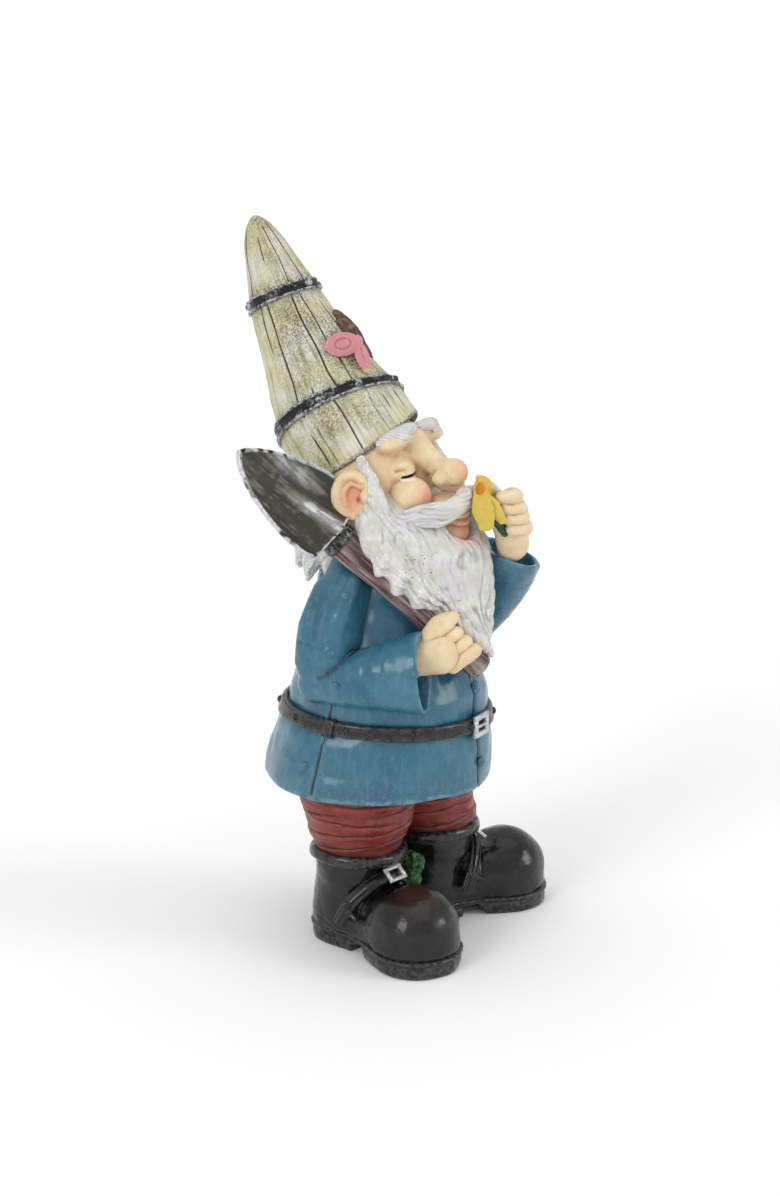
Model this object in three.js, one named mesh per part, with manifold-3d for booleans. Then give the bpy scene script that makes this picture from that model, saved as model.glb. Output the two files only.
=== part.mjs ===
// Garden gnome: a cast and painted statue with a tall hat of wooden staves, a shovel over
// its right shoulder and a yellow flower held to its nose.
// Millimetres, +Z up. The gnome faces -Y and its right hand is on -X.
import * as THREE from 'three';
import { mergeVertices } from 'three/addons/utils/BufferGeometryUtils.js';
import Module from 'manifold-3d';

const wasm = await Module();
wasm.setup();

const V = (x, y, z) => new THREE.Vector3(x, y, z);

// ---------------------------------------------------------------- driving dimensions
const GAP = 0.3;                        // clearance between two painted pieces

const HAT_SPINE = [                     // middle of the hat from its rim to its tip, leaning back
  V(0, 24, 333), V(0, 39, 352), V(0, 53, 373), V(0, 66, 395), V(0, 79, 417), V(0, 90, 440),
  V(0, 101, 463), V(0, 108, 479)];
const HAT_RADII = [44.5, 43, 36.8, 30.6, 25.4, 19.9, 12.7, 2.5];
const HAT_LENGTH = 170;
const HAT_BANDS = {                     // place along the spine, width, sideways tip in degrees
  hat_band_upper: { at: 0.64, wide: 7, tip: 0, rivets: 6 },
  hat_band_lower: { at: 0.165, wide: 9, tip: 8, rivets: 8 },
};
const BAND_THICK = 2;

const HEAD = V(0, 14, 313);
const HEAD_RADII = V(45, 44, 46);
const NOSE = V(0, -48, 325);
const NOSE_RADIUS = 9.5;

const HEM = 116;                        // underside of the coat
const COAT_SECTIONS = [                 // [height, half width, half depth, middle in Y]
  [HEM, 79, 77, 8], [136, 75, 75, 6], [158, 68, 70, 4], [178, 64, 65, 1], [203, 57, 57, 3],
  [230, 50, 47, 5], [252, 43, 41, 8], [266, 30, 31, 10]];
const COAT_TOP = 272;
const HEM_RECESS = 14;                  // how deep the coat is hollow above its hem
const HEM_WALL = 5;
const BELT_UP = 160;
const BELT_WIDE = 9;
const BELT_THICK = 3;

const ANKLE_HIGH = 62;                  // top of the boot's upper, under its rolled collar
const SOLE_THICK = 12;
const HEEL_HIGH = 7;
const FEET = {                          // middle of the ankle, outward turn in degrees
  right: { at: V(-25, 9, 0), turn: -12 },
  left: { at: V(41, -8, 0), turn: 58 },
};

const SOCKET = V(-55, -3, 282);         // where the handle enters the blade's socket
const HANDLE_END = V(-6, -75, 201);
const HANDLE_RADIUS = 8.5;
const BLADE_LENGTH = 90;
const BLADE_WIDTH = 54;
const BLADE_AXIS = V(-0.41, 0.63, 0.66).normalize();   // from the socket to the tip
const BLADE_ACROSS = V(0.64, 0.03, 0.7);               // from the outer edge to the inner one

// ---------------------------------------------------------------- paints
const paint = (color, roughness = 0.6, metalness = 0) =>
  new THREE.MeshStandardMaterial({ color, roughness, metalness });
const PAINT = {
  stave: paint(0xc4c49c, 0.7), iron: paint(0x2b2b2d, 0.45, 0.3), bark: paint(0x4a3228, 0.8),
  pink: paint(0xd78691), skin: paint(0xe0caa4, 0.5), hair: paint(0xd6d6d2, 0.7),
  coat: paint(0x3c6c88, 0.45), silver: paint(0xbcc0c2, 0.35, 0.7), leather: paint(0x28282a, 0.3),
  trousers: paint(0x80362f, 0.55), gunmetal: paint(0x4a4842, 0.4, 0.5), wood: paint(0x75625f, 0.75),
  yellow: paint(0xd8be50), stem: paint(0x3f6347, 0.8), moss: paint(0x37693a, 0.95),
};

// ---------------------------------------------------------------- shapes
const degrees = THREE.MathUtils.degToRad;

// A geometry with only positions and shared vertices, and no collapsed triangles.
function weld(geometry) {
  const bare = geometry.clone();
  for (const name of ['normal', 'uv']) bare.deleteAttribute(name);
  const merged = mergeVertices(bare, 1e-4);
  const corners = merged.index.array;
  const kept = [];
  for (let i = 0; i < corners.length; i += 3) {
    const [a, b, c] = [corners[i], corners[i + 1], corners[i + 2]];
    if (a !== b && b !== c && c !== a) kept.push(a, b, c);
  }
  merged.setIndex(kept);
  return merged;
}

// Moves every vertex by a function that changes it in place.
function warp(geometry, move) {
  const bare = weld(geometry);
  const position = bare.attributes.position;
  const point = new THREE.Vector3();
  for (let i = 0; i < position.count; i += 1) {
    point.fromBufferAttribute(position, i);
    move(point);
    position.setXYZ(i, point.x, point.y, point.z);
  }
  return bare;
}

// The same body grown outwards along its vertex normals.
function swell(geometry, distance) {
  const grown = weld(geometry);
  grown.computeVertexNormals();
  const { position, normal } = grown.attributes;
  for (let i = 0; i < position.count; i += 1) {
    position.setXYZ(i, position.getX(i) + normal.getX(i) * distance,
      position.getY(i) + normal.getY(i) * distance, position.getZ(i) + normal.getZ(i) * distance);
  }
  grown.deleteAttribute('normal');
  return grown;
}

// Turned about +Z from [radius, height] points that start and end on the axis.
function turned(profile, sides = 32) {
  const points = profile.map(([radius, height]) => new THREE.Vector2(radius, height));
  return new THREE.LatheGeometry(points, sides).rotateX(Math.PI / 2);
}

function ball(middle, radii, across = 14, down = 9) {
  const size = typeof radii === 'number' ? V(radii, radii, radii) : radii;
  return new THREE.SphereGeometry(1, across, down).rotateX(Math.PI / 2)
    .scale(size.x, size.y, size.z).translate(middle.x, middle.y, middle.z);
}

function block(middle, size) {
  return new THREE.BoxGeometry(size.x, size.y, size.z).translate(middle.x, middle.y, middle.z);
}

// Value of a table [key, value...] at a key, smooth between its rows.
function between(rows, key, column = 1) {
  const last = rows.length - 1;
  if (key <= rows[0][0]) return rows[0][column];
  if (key >= rows[last][0]) return rows[last][column];
  const next = rows.findIndex((row) => row[0] > key);
  const [low, high] = [rows[next - 1], rows[next]];
  return THREE.MathUtils.lerp(low[column], high[column], (key - low[0]) / (high[0] - low[0]));
}

// A rounded limb along a smooth curve. Radii are [across, deep] at even steps of the curve, and
// `side` is the direction that `across` is measured in.
function limb(points, radii, side = V(1, 0, 0), sides = 14, steps = 8) {
  const curve = new THREE.CatmullRomCurve3(points);
  const table = radii.map((pair, i) => [i / (radii.length - 1), ...[pair].flat()]);
  const profile = [[0, 0]];
  for (let i = 0; i <= steps; i += 1) profile.push([1, i / steps]);
  profile.push([0, 1]);
  return warp(turned(profile, sides), (point) => {
    const along = THREE.MathUtils.clamp(point.z, 0, 1);
    const middle = curve.getPoint(along);
    const ahead = curve.getTangent(along);
    const deep = V(0, 0, 0).crossVectors(ahead, side).normalize();
    const across = V(0, 0, 0).crossVectors(deep, ahead).normalize();
    const wide = between(table, along, 1);
    const thick = between(table, along, table[0].length - 1);
    point.copy(middle.addScaledVector(across, point.x * wide)
      .addScaledVector(deep, point.y * thick));
  });
}

// A bent finger, narrower at its ends.
const finger = (points, radius, side) =>
  limb(points, [radius * 0.7, radius, radius, radius, radius * 0.6], side, 7, 6);

// ---------------------------------------------------------------- booleans
function solid(geometry) {
  const bare = weld(geometry);
  return new wasm.Manifold(new wasm.Mesh({
    numProp: 3,
    vertProperties: new Float32Array(bare.attributes.position.array),
    triVerts: new Uint32Array(bare.index.array),
  }));
}

function joined(shapes, grow = 0) {
  const solids = shapes.map((shape) => solid(grow ? swell(shape, grow) : shape));
  return solids.reduce((sum, next) => sum.add(next));
}

function largest(body) {
  return body.decompose().reduce((best, next) => (next.volume() > best.volume() ? next : best));
}

function geometryOf(body) {
  const mesh = largest(body.simplify(0.11)).getMesh();
  const geometry = new THREE.BufferGeometry();
  geometry.setAttribute('position', new THREE.BufferAttribute(mesh.vertProperties, 3));
  geometry.setIndex([...mesh.triVerts]);
  return geometry;
}

// ---------------------------------------------------------------- hat
const hatCurve = new THREE.CatmullRomCurve3(HAT_SPINE);
const HAT = limb(HAT_SPINE, HAT_RADII, V(1, 0, 0), 24, 12);

// The hat's own frame at a place along its spine: X to the gnome's left, Z along the spine.
function hatFrame(at) {
  const up = hatCurve.getTangent(at);
  const back = V(0, 0, 0).crossVectors(up, V(1, 0, 0)).normalize();
  return new THREE.Matrix4().makeBasis(V(1, 0, 0), back, up).setPosition(hatCurve.getPoint(at));
}

function hatBand({ at, wide, tip, rivets }) {
  const slab = block(V(0, 0, 0), V(200, 200, wide)).rotateY(degrees(tip)).applyMatrix4(hatFrame(at));
  let band = solid(swell(HAT, BAND_THICK)).intersect(solid(slab));
  const steps = HAT_RADII.map((radius, i) => [i / (HAT_RADII.length - 1), radius]);
  for (let i = 0; i < rivets; i += 1) {
    const angle = ((i + 0.4) / rivets) * 2 * Math.PI;
    const place = at - Math.tan(degrees(tip)) * Math.cos(angle) * between(steps, at) / HAT_LENGTH;
    const reach = between(steps, place) + BAND_THICK - 0.5;
    const rivet = V(Math.cos(angle) * reach, Math.sin(angle) * reach, 0).applyMatrix4(hatFrame(place));
    band = band.add(solid(ball(rivet, 2.2, 6, 5)));
  }
  return band.subtract(solid(swell(HAT, GAP)));
}

// An oval of bark on the front of the hat, and the bow that sits on it.
const KNOT = V(0, 30, 401);
const hatKnot = () => ball(V(0, 0, 0), V(12, 7, 27), 12, 8).rotateX(degrees(-38))
  .translate(KNOT.x, KNOT.y, KNOT.z);

function hatBow() {
  const knot = V(-2, 22, 401);
  const shapes = [ball(knot, V(4, 4, 4.5), 10, 7)];
  for (const side of [-1, 1]) {
    shapes.push(limb([knot, V(side * 10 - 2, 27, 403), V(side * 20 - 1, 38, 402)],
      [[3, 2.5], [8, 3], [4, 2.5]], V(0, 0.4, 1), 8, 5));
    shapes.push(limb([knot, V(side * 4 - 3, 15, 392), V(side * 7 - 4, 10, 384)],
      [[2.5, 2.5], [4.5, 2.5], [4, 2.5]], V(1, 0, 0), 8, 4));
  }
  return shapes;
}

// ---------------------------------------------------------------- head
const HEAD_SHAPES = [
  ball(HEAD, HEAD_RADII, 20, 12),
  ...[-1, 1].map((side) => ball(V(side * 21, -30, 311), V(15, 14, 14), 12, 8)),
  limb([V(0, -17, 343), V(0, -26, 335), V(0, -40, 327)], [[10, 8], [9, 8], [8, 7]], V(1, 0, 0), 12, 4),
];
const NOSE_SHAPES = [ball(NOSE, V(NOSE_RADIUS, NOSE_RADIUS, NOSE_RADIUS * 0.95))];

const earShapes = (side) => [
  ball(V(0, 0, 0), V(5, 13, 16), 12, 8).rotateZ(degrees(side * -24))
    .translate(side * 48, -3, 313)];

const eyebrowShapes = (side) => [
  limb([V(side * 27, -4, 343), V(side * 15, -13, 350), V(side * 4, -18, 352)],
    [[3, 3], [5, 4.5], [4.5, 4]], V(0, 0, 1), 8, 5)];

function moustacheShapes() {
  return [-1, 1].map((side) => limb(
    [V(0, -58, 312), V(side * 8, -60, 306), V(side * 17, -55, 300), V(side * 27, -42, 297),
      V(side * 34, -28, 301)],
    [[5, 5], [8, 6], [8, 6], [6, 5], [2, 2]], V(0, 0, 1), 9, 7));
}

function beardShapes() {
  return [limb(
    [V(0, -2, 308), V(0, -22, 290), V(0, -41, 268), V(0, -55, 242), V(0, -65, 220), V(0, -70, 204)],
    [[46, 18], [47, 24], [41, 27], [30, 19], [17, 10], [3, 3]], V(1, 0, 0), 16, 9)];
}

function hairShapes() {
  const shapes = [limb([V(0, 22, 340), V(0, 28, 310), V(0, 30, 282), V(0, 32, 266)],
    [[46, 36], [47, 36], [43, 31], [34, 24]], V(1, 0, 0), 16, 5)];
  for (let i = 0; i < 7; i += 1) {
    const angle = degrees(-15 + i * 35);
    const [x, y] = [Math.cos(angle), Math.sin(angle)];
    shapes.push(limb([V(x * 34, 28 + y * 22, 280), V(x * 39, 30 + y * 27, 266),
      V(x * 42, 32 + y * 31, 254)], [[11, 8], [8, 6], [1.5, 1.5]], V(-y, x, 0), 7, 4));
  }
  return shapes;
}

// ---------------------------------------------------------------- coat and belt
const COAT = warp(turned([[0, HEM], ...COAT_SECTIONS.map(([height]) => [1, height]), [0, COAT_TOP]], 26),
  (point) => {
    const [wide, deep, middle] = [1, 2, 3].map((column) => between(COAT_SECTIONS, point.z, column));
    point.x *= wide;
    point.y = point.y * deep + middle;
  });

function coatRecess() {
  const [, wide, deep, middle] = COAT_SECTIONS[0];
  return turned([[0, -1], [1, -1], [0.97, 1], [0, 1]], 26)
    .scale(wide - HEM_WALL, deep - HEM_WALL, HEM_RECESS).translate(0, middle, HEM);
}

function belt() {
  const slab = block(V(0, 0, BELT_UP), V(300, 300, BELT_WIDE));
  let ring = solid(swell(COAT, BELT_THICK)).intersect(solid(slab));
  const [wide, deep, middle] = [1, 2, 3].map((column) => between(COAT_SECTIONS, BELT_UP, column));
  for (let i = 0; i < 10; i += 1) {
    const angle = degrees(-54 + i * 36);
    const reach = BELT_THICK - 0.4;
    const stud = V(Math.cos(angle) * (wide + reach), Math.sin(angle) * (deep + reach) + middle, BELT_UP);
    ring = ring.add(solid(ball(stud, 2.4, 6, 5)));
  }
  return ring.subtract(solid(swell(COAT, GAP)));
}

// A square frame buckle with its tongue, lying in the XZ plane and facing -Y.
function buckle(wide, high, thick) {
  const outline = new THREE.Shape();
  outline.moveTo(-wide / 2, -high / 2).lineTo(wide / 2, -high / 2);
  outline.lineTo(wide / 2, high / 2).lineTo(-wide / 2, high / 2).closePath();
  const bar = Math.min(wide, high) * 0.2;
  const hole = new THREE.Path();
  hole.moveTo(-wide / 2 + bar, -high / 2 + bar).lineTo(-wide / 2 + bar, high / 2 - bar);
  hole.lineTo(wide / 2 - bar, high / 2 - bar).lineTo(wide / 2 - bar, -high / 2 + bar).closePath();
  outline.holes.push(hole);
  const frame = new THREE.ExtrudeGeometry(outline, { depth: thick, bevelEnabled: false })
    .rotateX(Math.PI / 2);
  const tongue = block(V(-wide * 0.05, -thick * 0.6, 0), V(wide * 0.86, thick * 0.7, bar));
  return [frame, tongue];
}

// ---------------------------------------------------------------- arms
const RIGHT_ELBOW = V(-62, 14, 190);
const RIGHT_CUFF = V(-46, -55, 204);
const LEFT_ELBOW = V(59, -29, 208);
const LEFT_CUFF = V(48, -65, 265);

const SLEEVES = {
  right: [
    limb([V(-34, 4, 260), V(-50, 5, 238), V(-59, 7, 212), RIGHT_ELBOW],
      [[16, 18], [18, 18], [19, 17], [13, 13]], V(0, 1, 0), 14, 6),
    ball(RIGHT_ELBOW, V(11, 13, 12)),
    limb([RIGHT_ELBOW, V(-61, -8, 194), V(-54, -32, 200), RIGHT_CUFF],
      [[11, 12], [15, 17], [18, 22], [20, 27]], V(1, 0, 0), 14, 6)],
  left: [
    limb([V(34, 4, 260), V(50, -2, 240), V(59, -14, 222), LEFT_ELBOW],
      [[16, 18], [20, 21], [20, 21], [15, 16]], V(0, 1, 0), 14, 6),
    ball(LEFT_ELBOW, V(14, 14, 13)),
    limb([LEFT_ELBOW, V(59, -43, 226), V(54, -56, 246), LEFT_CUFF],
      [[13, 14], [15, 16], [19, 19], [22, 20]], V(1, 0, 0), 14, 6)],
};

// The hollow mouth of a bell sleeve, ending past the cuff.
const MOUTHS = {
  right: [limb([V(-53, -38, 201), V(-44, -66, 205)], [[16, 21], [18, 25]], V(1, 0, 0), 14, 2)],
  left: [limb([V(52, -60, 256), V(44, -70, 273)], [[17, 15], [22, 20]], V(1, 0, 0), 14, 2)],
};

function handShapes(wrist, palm, knuckles, curl, thumb, side) {
  const shapes = [limb([wrist, palm], [[12, 10], [13, 11]], side, 10, 2), ball(palm, 12.5, 9, 7)];
  for (let i = 0; i < 4; i += 1) {
    const start = palm.clone().add(knuckles.clone().multiplyScalar((i - 1.5) / 3));
    shapes.push(finger(curl.map((step) => start.clone().add(step)), 5, side));
  }
  shapes.push(finger(thumb, 5, side));
  return shapes;
}

const HANDS = {
  right: handShapes(V(-45, -50, 213), V(-36, -62, 217), V(6, -8, -22),
    [V(2, -2, 0), V(12, -10, 2), V(18, -7, -3)],
    [V(-38, -56, 226), V(-32, -58, 236), V(-24, -66, 236)], V(0.3, 0.3, 1)),
  left: handShapes(V(40, -70, 272), V(27, -74, 296), V(-6, 4, 21),
    [V(0, -6, 3), V(-8, -13, 4), V(-14, -7, 4)],
    [V(30, -66, 302), V(22, -63, 311), V(16, -66, 314)], V(1, 0, 0)),
};

// ---------------------------------------------------------------- shovel
const bladeAcross = BLADE_ACROSS.clone()
  .addScaledVector(BLADE_AXIS, -BLADE_ACROSS.dot(BLADE_AXIS)).normalize();
const bladeFace = V(0, 0, 0).crossVectors(bladeAcross, BLADE_AXIS).normalize();
const bladeTurn = new THREE.Matrix4().makeBasis(bladeAcross, BLADE_AXIS, bladeFace)
  .setPosition(SOCKET);

// A pressed, dished blade: rounded point, straight tread and a raised rim. The socket's ridge
// runs down its middle. Built flat with the tip along +Y and its open side along +Z.
function bladeShapes() {
  const half = BLADE_WIDTH / 2;
  const dish = (x, along) => 9 * (x / half) ** 2 + 3 * along ** 2;
  const plate = warp(new THREE.SphereGeometry(1, 26, 8).rotateX(Math.PI / 2), (point) => {
    const round = Math.hypot(point.x, point.y);
    const angle = Math.atan2(point.y, point.x);
    const towardsTip = Math.sin(angle) > 0;
    const sharp = towardsTip ? 1.45 : 5;
    const reach = (Math.abs(Math.cos(angle)) ** sharp + Math.abs(Math.sin(angle)) ** sharp)
      ** (-1 / sharp);
    const x = Math.cos(angle) * round * reach * half;
    const y = Math.sin(angle) * round * reach * (towardsTip ? BLADE_LENGTH - 32 : 22);
    point.set(x, y + 32, Math.sign(point.z) * Math.min(1.6, Math.abs(point.z) * 4)
      + dish(x, y / 60));
  });
  const ridge = limb([V(0, -6, 1), V(0, 12, 3), V(0, 34, 3), V(0, 54, 0)],
    [[11, 10], [9, 8], [5, 5], [1, 1]], V(1, 0, 0), 12, 6);
  return [plate, ridge].map((shape) => shape.applyMatrix4(bladeTurn));
}

function handleShapes() {
  const middle = SOCKET.clone().lerp(HANDLE_END, 0.5).add(V(-2, -2, 1));
  return [limb([SOCKET, middle, HANDLE_END],
    [HANDLE_RADIUS * 1.08, HANDLE_RADIUS, HANDLE_RADIUS, HANDLE_RADIUS * 0.92], V(1, 0, 0), 12, 6)];
}

// ---------------------------------------------------------------- flower
const BLOOM = V(5, -76, 305);

function bloomShapes() {
  const shapes = [ball(BLOOM, V(7, 7, 8))];
  for (let i = 0; i < 5; i += 1) {
    const angle = degrees(20 + i * 72);
    const [x, z] = [Math.cos(angle), Math.sin(angle)];
    shapes.push(limb([BLOOM, BLOOM.clone().add(V(x * 8, 2, z * 10)),
      BLOOM.clone().add(V(x * 13, 6, z * 18))], [[4, 4], [8, 3.5], [4, 2.5]], V(-z, 0, x), 8, 4));
  }
  return shapes;
}

const STEM_SHAPES = [limb([V(6, -77, 297), V(12, -77, 290), V(19, -76, 285)],
  [[3, 3], [3, 3], [2.5, 2.5]], V(0, 0, 1), 8, 5)];

// ---------------------------------------------------------------- legs and boots
const LEG_RADII = [26, 26, 37, 40, 38];
const legShapes = (ankle, knee, hip) => [limb(
  [V(ankle.x, ankle.y, ANKLE_HIGH - 4), V(ankle.x, ankle.y, ANKLE_HIGH + 9), knee,
    knee.clone().lerp(hip, 0.5), hip], LEG_RADII, V(1, 0, 0), 20, 9)];
const LEGS = {
  right: legShapes(FEET.right.at, V(-28, 6, 88), V(-31, 5, 134)),
  left: legShapes(FEET.left.at, V(35, -3, 88), V(31, 3, 134)),
};

// A boot's own frame: the ankle on the Z axis and the toes towards -Y.
const TOE = V(0, -56, 0);
const HEEL = V(0, 11, 0);
const TOE_RADIUS = 29;
const HEEL_RADIUS = 23;
const WAIST = 19;

function soleShape(grow = 0) {
  const outline = new THREE.Shape();
  outline.absarc(TOE.x, TOE.y, TOE_RADIUS + grow, Math.PI - 0.25, 2 * Math.PI + 0.25, false);
  outline.quadraticCurveTo(WAIST + grow, -18, HEEL_RADIUS + grow, HEEL.y - 4);
  outline.absarc(HEEL.x, HEEL.y, HEEL_RADIUS + grow, 0, Math.PI, false);
  outline.quadraticCurveTo(-WAIST - grow, -18, -(TOE_RADIUS + grow) * Math.cos(0.25),
    TOE.y + (TOE_RADIUS + grow) * Math.sin(0.25));
  return outline;
}

const slabOf = (shape, low, high) =>
  new THREE.ExtrudeGeometry(shape, { depth: high - low, bevelEnabled: false, curveSegments: 8 })
    .translate(0, 0, low);

function sole() {
  const arch = block(V(0, -2, HEEL_HIGH / 2 - 5), V(80, 66, HEEL_HIGH + 10)).translate(0, 22, 0);
  return solid(slabOf(soleShape(0.8), 0, SOLE_THICK)).subtract(solid(arch));
}

function heel() {
  const front = block(V(0, -96, 0), V(200, 200, 80));
  return solid(slabOf(soleShape(0.4), 0, HEEL_HIGH - GAP)).subtract(solid(front));
}

function bootShapes() {
  return [
    ball(V(0, -55, 25), V(29, 30, 28), 18, 11),
    limb([V(0, 10, 0), V(0, 8, 20), V(0, 2, 44), V(0, 0, ANKLE_HIGH + 4)],
      [[23, 25], [25, 27], [26, 28], [29, 30]], V(1, 0, 0), 18, 5),
    limb([V(0, 0, 24), V(0, -22, 24), V(0, -44, 24)], [[23, 24], [23, 23], [26, 24]],
      V(1, 0, 0), 16, 4)];
}

function boot() {
  const high = ANKLE_HIGH - SOLE_THICK - 2 * GAP;
  const above = block(V(0, 0, SOLE_THICK + GAP + high / 2), V(200, 300, high));
  return joined(bootShapes()).intersect(solid(above));
}

function bootCollar() {
  const section = new THREE.Path().absellipse(30.2, ANKLE_HIGH + 4, 3, 4, 0, 2 * Math.PI, false);
  return new THREE.LatheGeometry(section.getPoints(3), 20).rotateX(Math.PI / 2);
}

// The strap saddles the instep from one side of the welt to the other.
const STRAP_SHAPES = [limb([V(-29, -14, 26), V(-23, -22, 42), V(-9, -29, 52), V(9, -29, 52),
  V(23, -22, 42), V(29, -14, 26)], [[5.5, 3], [5.5, 4], [5.5, 5], [5.5, 4], [5.5, 3]],
V(0, 0.8, 0.6), 8, 12)];

const mossShapes = () => [V(8, -6, 8), V(11, -3, 22), V(10, -8, 36), V(12, -11, 47)]
  .map((middle, i) => ball(middle, [12, 11, 10, 8][i], 9, 6));

// Round buttons: on the front opening, beside a side seam, and on the sleeves.
const BUTTONS = {
  button_front_hem: [V(0, -1, 0), 130], button_front_chest: [V(0, -1, 0), 183],
  button_side_right: [V(-0.93, 0.36, 0), 132], button_side_left: [V(0.93, 0.36, 0), 132],
};

function buttonShape(away, height) {
  const [wide, deep, middle] = [1, 2, 3].map((column) => between(COAT_SECTIONS, height, column));
  const reach = 1 / Math.hypot(away.x / wide, away.y / deep);
  return ball(V(away.x * reach, away.y * reach + middle, height), V(3.6, 3.6, 3.6), 9, 6);
}

const bootBuckle = (side) => buckle(13, 11, 2.5).map((shape) => shape.rotateZ(degrees(side * 5))
  .rotateX(degrees(-48)).translate(-side * 3, -33.5, 56));

// ---------------------------------------------------------------- assembly
const gnome = new THREE.Group();
gnome.name = 'gnome';

function add(name, body, material) {
  const mesh = new THREE.Mesh(geometryOf(body), material);
  mesh.name = name;
  gnome.add(mesh);
  return mesh;
}

// Shapes that others are cut by, placed in the statue's own frame.
function footShapes(side, shapes) {
  const { at, turn } = FEET[side];
  return shapes.map((shape) => shape.clone().rotateZ(degrees(turn)).translate(at.x, at.y, at.z));
}

const footBody = (side, body) => {
  const { at, turn } = FEET[side];
  return body.rotate([0, 0, turn]).translate([at.x, at.y, at.z]);
};

const SHAPES = {
  hat: [HAT], knot: [hatKnot()], bow: hatBow(), head: HEAD_SHAPES, nose: NOSE_SHAPES,
  ear_right: earShapes(-1), ear_left: earShapes(1), moustache: moustacheShapes(),
  eyebrow_right: eyebrowShapes(-1), eyebrow_left: eyebrowShapes(1), beard: beardShapes(),
  coat: [COAT], sleeve_right: SLEEVES.right, sleeve_left: SLEEVES.left,
  hand_right: HANDS.right, hand_left: HANDS.left, blade: bladeShapes(), handle: handleShapes(),
  bloom: bloomShapes(), stem: STEM_SHAPES, moss: mossShapes(), leg_right: LEGS.right, leg_left: LEGS.left,
};

// A named body of SHAPES with its neighbours, grown by the clearance, cut away.
function cut(body, ...neighbours) {
  return neighbours.reduce((rest, name) => rest.subtract(joined(SHAPES[name], GAP)), body);
}
const shaped = (name, ...neighbours) => cut(joined(SHAPES[name]), ...neighbours);

add('hat', shaped('hat', 'blade'), PAINT.stave);
const bandBodies = Object.entries(HAT_BANDS).map(([name, band]) => [name, hatBand(band)]);
for (const [name, body] of bandBodies) add(name, cut(body, 'knot', 'bow'), PAINT.iron);
add('hat_knot', shaped('knot', 'hat', 'bow'), PAINT.bark);
add('hat_bow', shaped('bow', 'hat'), PAINT.pink);

add('head', shaped('head', 'hat', 'nose', 'ear_right', 'ear_left', 'blade'), PAINT.skin);
add('nose', shaped('nose'), PAINT.skin);
for (const side of ['right', 'left']) {
  add(`ear_${side}`, shaped(`ear_${side}`, 'hat', 'blade'), PAINT.skin);
  add(`eyebrow_${side}`, shaped(`eyebrow_${side}`, 'head', 'hat'), PAINT.hair);
}
add('moustache', shaped('moustache', 'head', 'nose', 'bloom', 'hand_left'), PAINT.hair);
add('beard', shaped('beard', 'head', 'moustache', 'ear_right', 'ear_left', 'coat', 'handle', 'blade',
  'hand_right', 'hand_left', 'sleeve_right', 'sleeve_left', 'bloom', 'stem'), PAINT.hair);
const aboveRim = block(V(0, 0, 60 - GAP), V(200, 200, 120)).applyMatrix4(hatFrame(0));
const hair = joined(hairShapes()).subtract(joined(beardShapes(), GAP)).subtract(solid(aboveRim));
add('hair_back', cut(hair, 'head', 'hat', 'ear_right', 'ear_left', 'coat', 'blade', 'handle',
  'sleeve_right', 'sleeve_left'), PAINT.hair);

const coat = joined(SHAPES.coat).subtract(solid(coatRecess()));
add('coat', cut(coat, 'head', 'leg_right', 'leg_left', 'sleeve_right', 'sleeve_left', 'handle',
  'blade', 'hand_right'), PAINT.coat);
const buckleFront = between(COAT_SECTIONS, BELT_UP, 3) - between(COAT_SECTIONS, BELT_UP, 2)
  - BELT_THICK - GAP;
const beltBuckle = buckle(17, 17, 3).map((shape) => shape.translate(0, buckleFront, BELT_UP));
add('belt', cut(belt(), 'sleeve_right', 'sleeve_left').subtract(joined(beltBuckle, GAP)), PAINT.leather);
add('belt_buckle', joined(beltBuckle), PAINT.silver);

for (const side of ['right', 'left']) {
  const sleeve = shaped(`sleeve_${side}`, 'handle', 'blade', 'head').subtract(joined(MOUTHS[side]));
  add(`sleeve_${side}`, cut(sleeve, `hand_${side}`), PAINT.coat);
  add(`hand_${side}`, shaped(`hand_${side}`, 'handle', 'bloom', 'stem'), PAINT.skin);
}
add('shovel_blade', shaped('blade', 'handle'), PAINT.gunmetal);
add('shovel_handle', shaped('handle'), PAINT.wood);
add('flower_bloom', shaped('bloom', 'stem', 'nose'), PAINT.yellow);
add('flower_stem', shaped('stem'), PAINT.stem);

for (const side of ['right', 'left']) {
  const sign = side === 'right' ? -1 : 1;
  const own = block(V(sign * (100 + GAP / 2), 0, ANKLE_HIGH + 100), V(200, 300, 200));
  const collar = footShapes(side, [bootCollar()]);
  add(`leg_${side}`, shaped(`leg_${side}`).intersect(solid(own)).subtract(joined(collar, GAP)),
    PAINT.trousers);
  add(`boot_collar_${side}`, joined(collar), PAINT.leather);
  const strap = joined(STRAP_SHAPES).subtract(joined(bootShapes(), GAP));
  const upper = boot();
  add(`boot_${side}`, footBody(side, upper), PAINT.leather);
  add(`boot_strap_${side}`, footBody(side, strap), PAINT.leather);
  add(`boot_buckle_${side}`, footBody(side, joined(bootBuckle(sign))
    .subtract(joined([...STRAP_SHAPES, ...bootShapes()], GAP))), PAINT.silver);
  add(`sole_${side}`, footBody(side, sole()), PAINT.leather);
  add(`heel_${side}`, footBody(side, heel()), PAINT.leather);
}

const boots = ['right', 'left'].flatMap((side) => footShapes(side, [...bootShapes(), bootCollar(),
  ...STRAP_SHAPES, ...bootBuckle(side === 'right' ? -1 : 1)]));
const moss = cut(joined(SHAPES.moss), 'leg_right', 'leg_left').subtract(joined(boots, GAP))
  .subtract(solid(block(V(0, 0, -50), V(100, 100, 100))));
const shoes = ['right', 'left'].flatMap((side) => footShapes(side,
  [slabOf(soleShape(1.5), -1, SOLE_THICK + 1)]));
add('moss_tuft', moss.subtract(joined(shoes)), PAINT.moss);
for (const [name, [away, height]] of Object.entries(BUTTONS)) {
  add(name, cut(solid(buttonShape(away, height)), 'coat', 'sleeve_right', 'sleeve_left'), PAINT.coat);
}

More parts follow.
